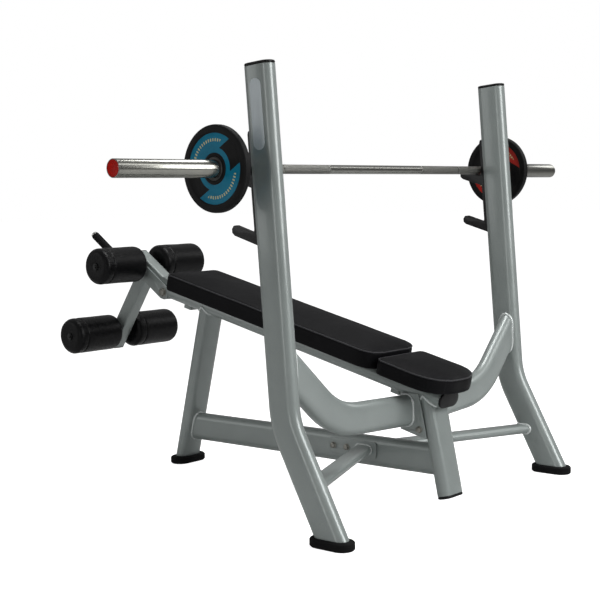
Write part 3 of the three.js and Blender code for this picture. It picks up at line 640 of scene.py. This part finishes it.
def cushion_profile(thickness, half_wide, crown, hang):
    """(inset, height) pairs from the underside, round the side and over the crowned top."""
    underside = [(0.028, 0.0), (0.016, -hang * 0.5), (0.009, -hang), (0.003, 0.0008 - hang)]
    side = [(0.0012, 0.004 - hang), (0.001, 0.011 - hang), (0.001, thickness * 0.5)]
    side += steps(0, thickness, (1, -11), (1.6, -5))
    edge_inset, edge_height = 0.0045, thickness - 0.0015
    top = [(edge_inset, edge_height)]
    for share in (0.08, 0.16, 0.28, 0.42, 0.6, 0.8, 0.97):
        rise = crown * (1 - (1 - share) ** 2.4)
        top.append((edge_inset + (half_wide - edge_inset) * share, edge_height + rise))
    return underside + side + top


def evaluated(obj):
    return obj.evaluated_get(bpy.context.evaluated_depsgraph_get())


def remeshed(obj, voxel):
    """Gives an object an even mesh for the cloth."""
    remesh = obj.modifiers.new("remesh", "REMESH")
    remesh.mode = "VOXEL"
    remesh.voxel_size = voxel
    remesh.use_smooth_shade = True
    smooth = obj.modifiers.new("smooth", "SMOOTH")
    smooth.factor = 0.5
    smooth.iterations = 3
    mesh = bpy.data.meshes.new_from_object(evaluated(obj))
    obj.modifiers.clear()
    obj.data = mesh


def move_points(obj, points):
    obj.data.vertices.foreach_set("co", points.astype(np.float32).ravel())
    obj.data.update()


def simulate(obj, pinned):
    """Blows the cover up as cloth between its pinned edges, and caps the swelling."""
    rest = places(obj)
    group = obj.vertex_groups.new(name="pinned")
    group.add([int(i) for i in np.nonzero(pinned)[0]], 1.0, "REPLACE")
    cloth = obj.modifiers.new("cloth", "CLOTH")
    cloth.settings.vertex_group_mass = group.name
    cloth.settings.use_pressure = True
    cloth.settings.uniform_pressure_force = 4.0
    cloth.settings.quality = 4
    cloth.settings.mass = 0.4
    cloth.settings.tension_stiffness = 25
    cloth.settings.compression_stiffness = 25
    cloth.settings.bending_stiffness = 1.5
    cloth.settings.effector_weights.gravity = 0.0
    cloth.collision_settings.use_collision = False
    cloth.point_cache.frame_start = 1
    cloth.point_cache.frame_end = CLOTH_FRAMES
    for step in range(1, CLOTH_FRAMES + 1):
        scene.frame_set(step)
    moved = places(evaluated(obj)) - rest
    obj.modifiers.remove(cloth)
    scene.frame_set(1)
    length = np.linalg.norm(moved, axis=1, keepdims=True)
    move_points(obj, rest + moved * np.minimum(1.0, COVER["swell"] / np.maximum(length, 1e-9)))


def edge_distance(point, plan):
    """How far a point lies inside the pad's plan."""
    half_long, half_wide, corners = plan
    corner = corners[0] if point[0] > 0 else corners[1]
    dx = abs(point[0]) - (half_long - corner)
    dy = abs(point[1]) - (half_wide - corner)
    outside = math.hypot(max(dx, 0.0), max(dy, 0.0)) + min(max(dx, dy), 0.0)
    return corner - outside


def groove_and_crease(pad, plan, seam_height):
    """Pulls the cover in at its sewn edge and between its corners, and adds slack and shallow folds."""
    half_long, half_wide, _ = plan
    points = places(pad)
    normals = np.array([v.normal for v in pad.data.vertices], float)
    for i, (x, y, z) in enumerate(points):
        inside = edge_distance((x, y), plan)
        off_seam = math.hypot(z - seam_height, min(inside - 0.003, 0.02))
        groove = SEAM["groove"] * math.exp(-(off_seam / SEAM["groove_width"]) ** 2)
        on_side = max(0.0, 1 - abs(inside) / COVER["panel_depth"])
        fold = COVER["fold"] * noise.noise(Vector((x * 14, y * 14, z * 40)))
        fold *= on_side * (0.01 < z < seam_height - 0.006)
        slack = COVER["slack"] * noise.noise(Vector((x * 9, y * 9, z * 9))) * (z > seam_height)
        far_out = max(abs(x) / half_long, abs(y) / half_wide) > 0.9
        middle = 1 - min(abs(x) / half_long, abs(y) / half_wide) ** 2
        waist = COVER["waist"] * far_out * middle * on_side * (z > 0.004)
        points[i] += normals[i] * (fold + slack - groove - waist)
    move_points(pad, points)


def seam_path(pad, plan, seam_height):
    """The sewn edge: the pad's plan at the seam's height, brought onto the cover."""
    half_long, half_wide, corners = plan
    tree = tree_of(pad.data)
    outline = resampled(rounded_outline(half_long, half_wide, *corners), 0.006)
    found = [tree.find_nearest(p + Vector((0, 0, seam_height + 0.002))) for p in outline]
    return [hit + normal * SEAM["cord_proud"] for hit, normal, _, _ in found]


def cushion(name, node, corners, crown, extra, hang, overhang, voxel):
    """An upholstered pad: a puffed cover over foam and board, sewn to its side panel with piping.

    It is made flat and then laid on the sloping bench. It is thicker than its node by extra, its edge hangs
    down by hang, and it reaches past the node's head end by overhang.
    """
    low, high = box_along(node, bench_axes)
    high.x += overhang
    half_wide = (high.y - low.y) / 2
    plan = ((high.x - low.x) / 2, half_wide, corners)
    thickness = high.z - low.z + extra
    bm = bmesh.new()
    bridge(bm, [ring_at(bm, plan, *row) for row in cushion_profile(thickness, half_wide, crown, hang)])
    pad = piece(name, bm, VINYL, "frame", [node])
    remeshed(pad, voxel)
    seam_height = thickness - SEAM["drop"]
    points = places(pad)
    from_edge = np.array([edge_distance(p, plan) for p in points])
    sewn = (np.abs(points[:, 2] - seam_height) < 0.005) & (from_edge < 0.008)
    simulate(pad, (points[:, 2] < 0.006 - hang) | sewn)
    groove_and_crease(pad, plan, seam_height)
    bead = sweep(seam_path(pad, plan, seam_height), lambda i: SEAM["cord_radius"])
    # The piping's lightened vinyl is a painted highlight.
    cord = piece(f"{name}_piping", bead, LIGHTENED_PIPING, "frame")
    cord.data.shade_smooth()
    place = Vector(((low.x + high.x) / 2, (low.y + high.y) / 2, low.z))
    for made in (pad, cord):
        made.data.transform(bench_axes.to_4x4() @ Matrix.Translation(place))
        made.data.update()
    pad.data.materials.clear()
    pad.data.materials.append(VINYL)
    refine(pad)


# ---- foam rollers ----

# The lengths of its shoulder and of the part past its seam, its hub's radius and depth, how far it stands out
# past its node, and how much further each row reaches in towards the leg hold's tube.
ROLLER = {"shoulder": 0.023, "seam": 0.040, "hub": 0.016, "dish": 0.003, "puff": 0.0032,
          "reach": {"upper": 0.0, "lower": 0.008}}


def roller_end(radius, bore, at, inward):
    """One end's profile from the bore outward: dished hub, soft face and rounded shoulder."""
    shoulder, hub = ROLLER["shoulder"], ROLLER["hub"]
    rows = [(bore, ROLLER["dish"]), (hub - 0.004, ROLLER["dish"]), (hub, 0.0018), (hub + 0.006, 0.0008)]
    rows += arc(radius - shoulder, shoulder, shoulder, -84, -8)
    return [(ring_radius, at + inward * along) for ring_radius, along in rows]


def roller(row, side):
    """A foam roller in a vinyl sleeve, gathered at a seam near its left end."""
    node = f"{row}_roller_{side}"
    low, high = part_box(node)
    centre = middle_of(node)
    reach = ROLLER["reach"][row]
    length = high.y - low.y + ROLLER["puff"] + reach
    right_end = high.y + ROLLER["puff"] / 2 + (reach if side == "left" else 0)
    start = Vector((centre.x, right_end, centre.z))
    radius = radius_of(node) + ROLLER["puff"]
    bore = radius_of(f"{row}_axle") + 0.0004
    shoulder, seam = ROLLER["shoulder"], length - ROLLER["seam"]
    profile = roller_end(radius, bore, 0, 1)
    for share in (0.2, 0.4, 0.6, 0.8):
        sag = 0.0006 * math.sin(math.pi * share)
        profile.append((radius - sag, shoulder + (seam - 0.01 - shoulder) * share))
    profile += steps(radius, seam, (0, -9), (-0.3, -5), (-1.4, -2), (-3.2, 0), (-1.4, 2), (-0.3, 5))
    profile += reversed(roller_end(radius, bore, length, -1))

    def gathers(turn, ring_radius, along):
        """Pleats that fade away from the seam, and soft unevenness in the foam."""
        if ring_radius < ROLLER["hub"] + 0.002:
            return 0.0
        faded = math.exp(-max(0.0, along - seam) / 0.012) * (along > seam - 0.004)
        pleats = math.sin(turn * 34 + 2 * math.sin(turn * 5)) * faded
        lumps = noise.noise(Vector((math.cos(turn) * 2, math.sin(turn) * 2, along * 22 + start.x * 40)))
        return 0.0005 * pleats + 0.0007 * lumps

    shape = lathe(profile, start, -ACROSS, 136, gathers)
    made = piece(f"foam_roller_{row}_{side}", shape, ROLLER_SKIN, node, [node])
    refine(made)


def roller_bolt(row, side):
    """The washer and button-head bolt that hold a roller on its axle."""
    node = f"{row}_roller_{side}"
    centre = middle_of(node)
    face = span(node, side)[1]
    start = Vector((centre.x, SIDES[side] * face, centre.z))
    outward = SIDES[side] * ACROSS
    washer = steps(0, 0, (0, -2.6), (11.5, -2.6), (11.5, -1.2), (10.8, -0.4), (6, 0.4), (0, 0.4))
    made = piece(f"roller_washer_{row}_{side}", lathe(washer, start, outward, 48), PLASTIC, "leg_hold")
    made.data.shade_smooth()
    # The head is made shorter where the axle ends close to the roller's face.
    squeeze = min(1.0, (span(f"{row}_axle", side)[1] - face) / 0.005)
    dome = steps(0, 0, (0, 0.2), (3.6, 0.2), (3.6, 1.2), (3.2, 2.6), (2.6, 3.6), (1.8, 4))
    socket = steps(0, 0, (1.6, 3.8), (1.5, 2), (0, 2))
    head = [(radius, along * squeeze) for radius, along in dome + socket]
    shade(piece(f"roller_bolt_{row}_{side}", lathe(head, start, outward, 48), SCREW, "leg_hold"))


# ---- barbell ----

# The wall of a sleeve's tube at its open end.
SLEEVE_WALL = 0.0022


def on_bar(name, profile, side, segments, material, body, node):
    """A piece turned about the bar, with distances measured outward from the bench's middle plane."""
    origin = Vector((bar_centre.x, 0, bar_centre.z))
    shape = lathe(profile, origin, SIDES[side] * ACROSS, segments)
    shade(piece(name, shape, material, body, [node]))


def bar():
    """The bar from end to end, with a groove at each knurling mark and rounded ends."""
    low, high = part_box("bar_shaft")
    half = (high.y - low.y) / 2
    profile = [(0, -half)] + steps(bar_radius, -half, (-1, 0), (0, 1))
    for mark in (-KNURL["ring"], -KNURL["start"], KNURL["start"], KNURL["ring"]):
        profile += steps(bar_radius, mark, (0, -2.8), (-0.5, -2.2), (-0.5, 2.2), (0, 2.8))
    profile += steps(bar_radius, half, (0, -1), (-1, 0)) + [(0, half)]
    shade(piece("bar", lathe(profile, bar_centre, ACROSS, 64), KNURLED, "barbell", ["bar_shaft"]))


def sleeve(side):
    """A loading sleeve: hub, stepped collar, long polished barrel and a retaining ring near its end."""
    node, cap = f"sleeve_{side}", f"sleeve_cap_{side}"
    start, end = span(node, side)
    mouth = span(cap, side)[1]
    stop = span(f"weight_plate_{side}", side)[0]
    collar, barrel = radius_of(node), radius_of(cap)
    bore, hub, lip = bar_radius + 0.00035, barrel + 0.004, barrel - SLEEVE_WALL
    profile = [(bore, start)] + steps(hub, start, (-2, 0), (0, 2)) + steps(hub, stop, (0, -32))
    # The collar that the plate rests against, with a shallow groove round it.
    profile += steps(collar, stop, (-1.5, -30), (0, -28.5), (0, -20), (-0.8, -19.2), (-0.8, -12.8), (0, -12))
    profile += steps(collar, stop, (0, -2), (-1.5, -0.4))
    # The barrel, and the ring groove near its end.
    profile += steps(barrel, stop, (0.6, -0.4), (0, 0.4))
    profile += steps(barrel, end, (0, -3.5), (-0.6, -3), (-0.6, -2), (0, -1.5))
    # The open mouth, down to the wall behind the red plug.
    profile += steps(barrel, mouth, (0, -1.4), (-1, -0.2)) + steps(lip, mouth, (0.4, 0), (0, -0.4))
    profile += steps(lip, end, (0, -1)) + steps(bore, end, (0, -1))
    on_bar(f"bar_sleeve_{side}", profile, side, 96, CHROME, node, node)


def sleeve_cap(side):
    """A red plug pressed into the barrel's end, with a raised rim round a shallow dish."""
    node = f"sleeve_cap_{side}"
    start, end = span(node, side)
    radius = radius_of(node) - SLEEVE_WALL - 0.0001
    rim = 0.0014
    profile = [(0, start), (radius, start), (radius, end - 0.0020)]
    profile += arc(radius - rim, end - 0.0020, rim, 0, 90, 4)
    profile += steps(radius, end, (-3.5, -0.8), (-5, -1.4)) + [(0, end - 0.0010)]
    on_bar(f"sleeve_plug_{side}", profile, side, 72, RED_PLASTIC, f"sleeve_{side}", node)


def plate(side, ink, band_angle, band_half_width):
    """A rubber plate: rounded rim and boss on both faces with the print sunk between them."""
    node = f"weight_plate_{side}"
    start, end = span(node, side)
    radius, insert = radius_of(node), radius_of(f"plate_insert_{side}")
    middle, half = (start + end) / 2, (end - start) / 2
    rim = 0.006
    # Half of the section, from the bush out over the boss and the sunk print to the rounded rim.
    face = steps(insert, half, (0.4, -1.2), (1.6, -0.2))
    face += steps(0, half, (38.5, 0), (40.5, -0.3), (42, -1.2), (43.6, -2.5), (60, -2.5), (80, -2.5))
    face += steps(0, half, (98.5, -2.5), (100.2, -1.4), (102, -0.3), (104.5, 0))
    face += arc(radius - rim, half - rim, rim, 84, 4, 5)
    front = [(r, middle + a) for r, a in face]
    back = [(r, middle - a) for r, a in reversed(face)]
    groove = steps(radius, middle, (0, 4), (-0.6, 2), (-0.6, -2), (0, -4))
    material = printed_rubber(f"plate_print_{side}", bar_centre, ink, band_angle, band_half_width)
    profile = front + groove + back
    on_bar(f"rubber_plate_{side}", profile, side, 160, material, f"plate_{side}", node)


def plate_ring(side):
    """The plate's steel bush, with a stepped, chamfered lip."""
    node = f"plate_insert_{side}"
    start, end = span(node, side)
    radius, bore = radius_of(node), radius_of(f"sleeve_cap_{side}") + 0.0006
    profile = steps(bore, start, (0, 1), (1, 0)) + steps(radius, start, (-0.5, 0), (0, 0.5))
    profile += steps(radius, end, (0, -1.4), (-1.2, -0.4), (-3, -0.2), (-3.6, -1.2))
    profile += steps(bore, end, (2.4, -1.2), (1.8, -0.1), (0.8, 0), (0, -0.8))
    # The bush's darkened chrome is painted shade.
    on_bar(f"plate_bush_{side}", profile, side, 96, SHADED_CHROME, f"plate_{side}", node)


# ---- bolts, grip and small parts ----

# The radius of a bolt's shank, half its head's width across flats, its head's height, and its washer.
M10 = {"shank": 0.005, "size": 0.0085, "height": 0.007, "washer": 0.011, "washer_height": 0.002}
M16 = {"shank": 0.008, "size": 0.012, "height": 0.008, "washer": 0.016, "washer_height": 0.0025}


def hexagon(bm, origin, axes, size, start, end):
    """A chamfered hexagon head or nut between two distances along an axis, across flats 2 * size."""
    reach = size / math.cos(math.pi / 6)
    away = 1 if end > start else -1
    rows = [(reach, start), (reach, end - away * 0.0012), (reach * 0.93, end - away * 0.0003),
            (reach * 0.88, end)]
    turned(bm, rows, origin, axes, [math.pi / 3 * k + 0.3 for k in range(6)])


def through_bolt(name, node, body, shank, size, height, washer, washer_height):
    """A hexagon bolt across the frame, with a head or nut and a washer at each end."""
    low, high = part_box(node)
    origin = middle_of(node)
    axes = axes_from(ACROSS)
    half = (high.y - low.y) / 2
    outer = half - height
    inner = outer - washer_height
    bm = bmesh.new()
    turned(bm, [(shank, -inner), (shank, inner)], origin, axes, circle(24))
    for side in SIDES.values():
        rows = [(washer, side * inner), (washer, side * (outer - 0.0004)), (washer - 0.0006, side * outer)]
        turned(bm, rows, origin, axes, circle(40))
        hexagon(bm, origin, axes, size, side * outer, side * half)
    shade(piece(name, bm, ZINC, body, [node]))


def pad_bolt(end):
    """A bolt up through the rail, its head inside a pressed cup."""
    node = f"pad_bolt_{end}"
    low, high = box_along(node, bench_axes)
    rail_bottom = box_along("pad_rail", bench_axes)[0].z
    origin = bench_axes @ Vector(((low.x + high.x) / 2, (low.y + high.y) / 2, 0))
    bolt = bmesh.new()
    turned(bolt, [(0.005, rail_bottom - 0.002), (0.005, high.z)], origin, bench_axes, circle(24))
    washer = [(0.0095, rail_bottom - 0.0030), (0.0095, rail_bottom - 0.0012)]
    turned(bolt, washer, origin, bench_axes, circle(40))
    hexagon(bolt, origin, bench_axes, 0.008, rail_bottom - 0.0030, low.z)
    shade(piece(f"pad_screw_{end}", bolt, SCREW, "frame", [node]))

    outer, inner, hole = 18.5, 16.3, 5.2
    roof, rim = -2.8, -17
    cup = bmesh.new()
    rings = []
    for half_width, height in steps(0, rail_bottom, (outer, -0.4), (outer, rim), (inner, rim), (inner, roof),
                                    (hole, roof), (hole, -0.4)):
        corner = min(0.005, half_width * 0.5)
        outline = rounded_outline(half_width, half_width, corner, corner, 6)
        rings.append([cup.verts.new(origin + bench_axes @ Vector((p.x, p.y, height))) for p in outline])
    bridge(cup, rings, loop=True)
    shade(piece(f"pad_cup_{end}", cup, FRAME_PAINT, "frame"))


def handle_grip():
    """A rubber grip with close ribs and a flared lip, and the bright tip past its end."""
    origin = middle_of("handle_bar")
    along = long_axis("handle_bar")
    if (middle_of("handle_end_cap") - origin).dot(along) < 0:
        along = -along
    axes = axes_from(along)

    def reach(node):
        """Where a node starts and ends along the handle, and how far its vertices lie from the line."""
        local = (places(nodes[node]) - np.array(origin)) @ np.array(axes)
        return local[:, 2].min(), local[:, 2].max(), np.hypot(local[:, 0], local[:, 1])

    start, end, radii = reach("handle_grip")
    lip, bore = radii.max(), radii.min()
    crest = lip - 0.002
    profile = [(bore, start)] + steps(lip, start, (-1, 0), (0, 1), (0, 4), (-2, 7))
    ribs = 24
    first, last = start + 0.010, end - 0.004
    pitch = (last - first) / ribs
    for i in range(ribs):
        at = first + i * pitch
        profile += [(crest - 0.0009, at), (crest, at + pitch * 0.3), (crest, at + pitch * 0.7),
                    (crest - 0.0009, at + pitch * 0.95)]
    profile += steps(crest, end, (0, -3), (0, -0.8), (-0.8, 0)) + [(bore, end)]
    grip = lathe(profile, origin, along, 64)
    shade(piece("ribbed_grip", grip, RUBBER, "leg_hold", ["handle_grip"]))

    start, end, radii = reach("handle_end_cap")
    radius, dome = radii.max(), 0.004
    profile = [(0, start)] + steps(radius, start, (-0.5, 0), (0, 0.5)) + [(radius, end - dome)]
    profile += arc(radius - dome, end - dome, dome, 0, 90)
    profile += [(0, end + 0.0004)]
    tip = lathe(profile, origin, along, 64)
    shade(piece("handle_tip", tip, BRIGHT_CAP, "leg_hold", ["handle_end_cap"]))


# ---- the frame's own nodes ----

# How far the edges of cut plates are rounded.
PAIRED_PLATES = ("bar_hook", "arm_flange", "brace_flange", "leg_hold_lug")
PLATES = [f"{name}_{side}" for name in PAIRED_PLATES for side in SIDES]
PLATES += ["arm_mount_block", "pad_strap_foot", "pad_strap_head", "pivot_bracket"]
EDGE_WIDTHS = dict.fromkeys(PLATES, 0.0012) | {"badge": 0.0004}
# Nodes that are blackened steel, whatever their slot.
BLACKENED = {"upper_axle", "lower_axle"}


def finish_nodes():
    """Every node that still shows gets its slot's material, and shading that keeps its edges."""
    for part in frame["record"]["subparts"]:
        node = part["node"]
        obj = nodes[node]
        if obj.hide_render:
            continue
        obj.data.materials.clear()
        obj.data.materials.append(BLACK_STEEL if node in BLACKENED else SLOT_MATERIALS[part["material_slot"]])
        if "custom_normal" in obj.data.attributes:
            obj.data.attributes.remove(obj.data.attributes["custom_normal"])
        if node in EDGE_WIDTHS:
            soften(obj, EDGE_WIDTHS[node])
        shade(obj)


# ---- studio ----

CAMERA = {"azimuth": 40.955, "elevation": 4.509, "roll": -1.245, "distance": 4.4,
          "target": (0.1312, 0.0682, 0.6145), "lens": 76.08}
# Each light's place, the point that it faces, its width and height in metres, and its power in watts.
LIGHTS = {
    "key": ((3.9, 0.2, 2.2), (0, 0, 0.7), (1.6, 2.4), 92),
    "strip": ((0.9, -4.4, 1.3), (0, 0, 0.7), (0.35, 2.4), 16),
    "fill": ((-3.2, -3.6, 1.6), (0, 0, 0.6), (2.0, 2.0), 17),
    "top": ((0.2, 0.3, 3.8), (0, 0, 0), (1.3, 1.3), 58),
    "back": ((3.0, 2.3, 3.8), (0, 0, 0.7), (4.0, 0.9), 24),
    "far_back": ((1.4, 4.4, 2.9), (0.5, 0.9, 1.0), (3.0, 0.7), 18),
}
WHITE = (1, 1, 1, 1)


def placed(name, data, location, turn):
    made = bpy.data.objects.new(name, data)
    made.location = location
    made.rotation_mode = "QUATERNION"
    made.rotation_quaternion = turn
    scene.collection.objects.link(made)
    return made


def camera():
    data = bpy.data.cameras.new("camera")
    data.lens = CAMERA["lens"]
    data.clip_end = 200
    azimuth, elevation = math.radians(CAMERA["azimuth"]), math.radians(CAMERA["elevation"])
    level = math.cos(elevation)
    back = Vector((math.sin(azimuth) * level, -math.cos(azimuth) * level, math.sin(elevation)))
    location = Vector(CAMERA["target"]) + back * CAMERA["distance"]
    roll = Matrix.Rotation(math.radians(CAMERA["roll"]), 3, "Z")
    turn = ((-back).to_track_quat("-Z", "Y").to_matrix() @ roll).to_quaternion()
    scene.camera = placed("camera", data, location, turn)


def soft_light(name, location, target, size, power):
    data = bpy.data.lights.new(name, "AREA")
    data.shape = "RECTANGLE"
    data.size, data.size_y = size
    data.energy = power
    placed(name, data, location, (Vector(target) - Vector(location)).to_track_quat("-Z", "Y"))


def surroundings():
    """A pale room, brighter overhead, and plain white where it is seen directly."""
    world = bpy.data.worlds.new("studio")
    scene.world = world
    world.use_nodes = True
    new, join = world.node_tree.nodes.new, world.node_tree.links.new
    background = world.node_tree.nodes["Background"]
    place, split, grade = new("ShaderNodeTexCoord"), new("ShaderNodeSeparateXYZ"), new("ShaderNodeMapRange")
    seen, pick = new("ShaderNodeLightPath"), new("ShaderNodeMix")
    for socket, value in {"From Min": -0.1, "From Max": 0.9, "To Min": 0.12, "To Max": 0.42}.items():
        grade.inputs[socket].default_value = value
    pick.inputs[3].default_value = 1.0
    background.inputs["Color"].default_value = WHITE
    join(place.outputs["Generated"], split.inputs[0])
    join(split.outputs["Z"], grade.inputs["Value"])
    join(seen.outputs["Is Camera Ray"], pick.inputs[0])
    join(grade.outputs[0], pick.inputs[2])
    join(pick.outputs[0], background.inputs["Strength"])


def floor():
    """A white floor that glows where it is seen directly, so that it runs into the room."""
    g = Graph("floor_white")
    g.surface(base_color=g.mix(g.noise(1.5, 2.0), srgb(202, 202, 202), srgb(206, 206, 206)), roughness=0.9)
    seen = g.add("ShaderNodeLightPath").outputs["Is Camera Ray"]
    g.surface(specular_ior_level=0.1, emission_color=WHITE, emission_strength=g.times(seen, 0.9))
    bm = bmesh.new()
    bmesh.ops.create_grid(bm, x_segments=8, y_segments=8, size=60)
    mesh = bpy.data.meshes.new("floor")
    bm.to_mesh(mesh)
    bm.free()
    mesh.materials.append(g.material)
    made = bpy.data.objects.new("floor", mesh)
    made.location.z = -0.0005
    scene.collection.objects.link(made)


# ---- building ----

camera()
cushion("main_cushion", "main_pad", corners=(0.065, 0.029), crown=0.012, extra=0.002, hang=0.0015,
        overhang=0.0, voxel=0.006)
cushion("head_cushion", "head_pad", corners=(0.104, 0.029), crown=0.013, extra=0.004, hang=0.004,
        overhang=0.016, voxel=0.005)
for row in ("upper", "lower"):
    for side in SIDES:
        roller(row, side)
        roller_bolt(row, side)
bar()
for side in SIDES:
    sleeve(side)
    sleeve_cap(side)
    plate_ring(side)
plate("left", srgb(0, 112, 142), band_angle=math.radians(31), band_half_width=0.038)
plate("right", srgb(160, 30, 20), band_angle=math.radians(150), band_half_width=0.055)
through_bolt("arm_hex_bolt", "arm_bolt", "frame", **M10)
through_bolt("brace_hex_bolt_1", "brace_bolt_1", "frame", **M10)
through_bolt("brace_hex_bolt_2", "brace_bolt_2", "frame", **M10)
through_bolt("pivot_hex_bolt", "leg_hold_pivot_bolt", "leg_hold", **M16)
for end in ("foot", "head"):
    pad_bolt(end)
handle_grip()
for part, against in LEG_WELDS:
    weld(part, against, "frame")
for part, against in SIDE_WELDS:
    for side in SIDES:
        weld(f"{part}_{side}", f"{against}_{side}", "frame")
weld("handle_bar", "leg_hold_lower_tube", "leg_hold")
finish_nodes()
for name, light in LIGHTS.items():
    soft_light(name, *light)
surroundings()
scene.view_settings.view_transform = "Standard"
floor()
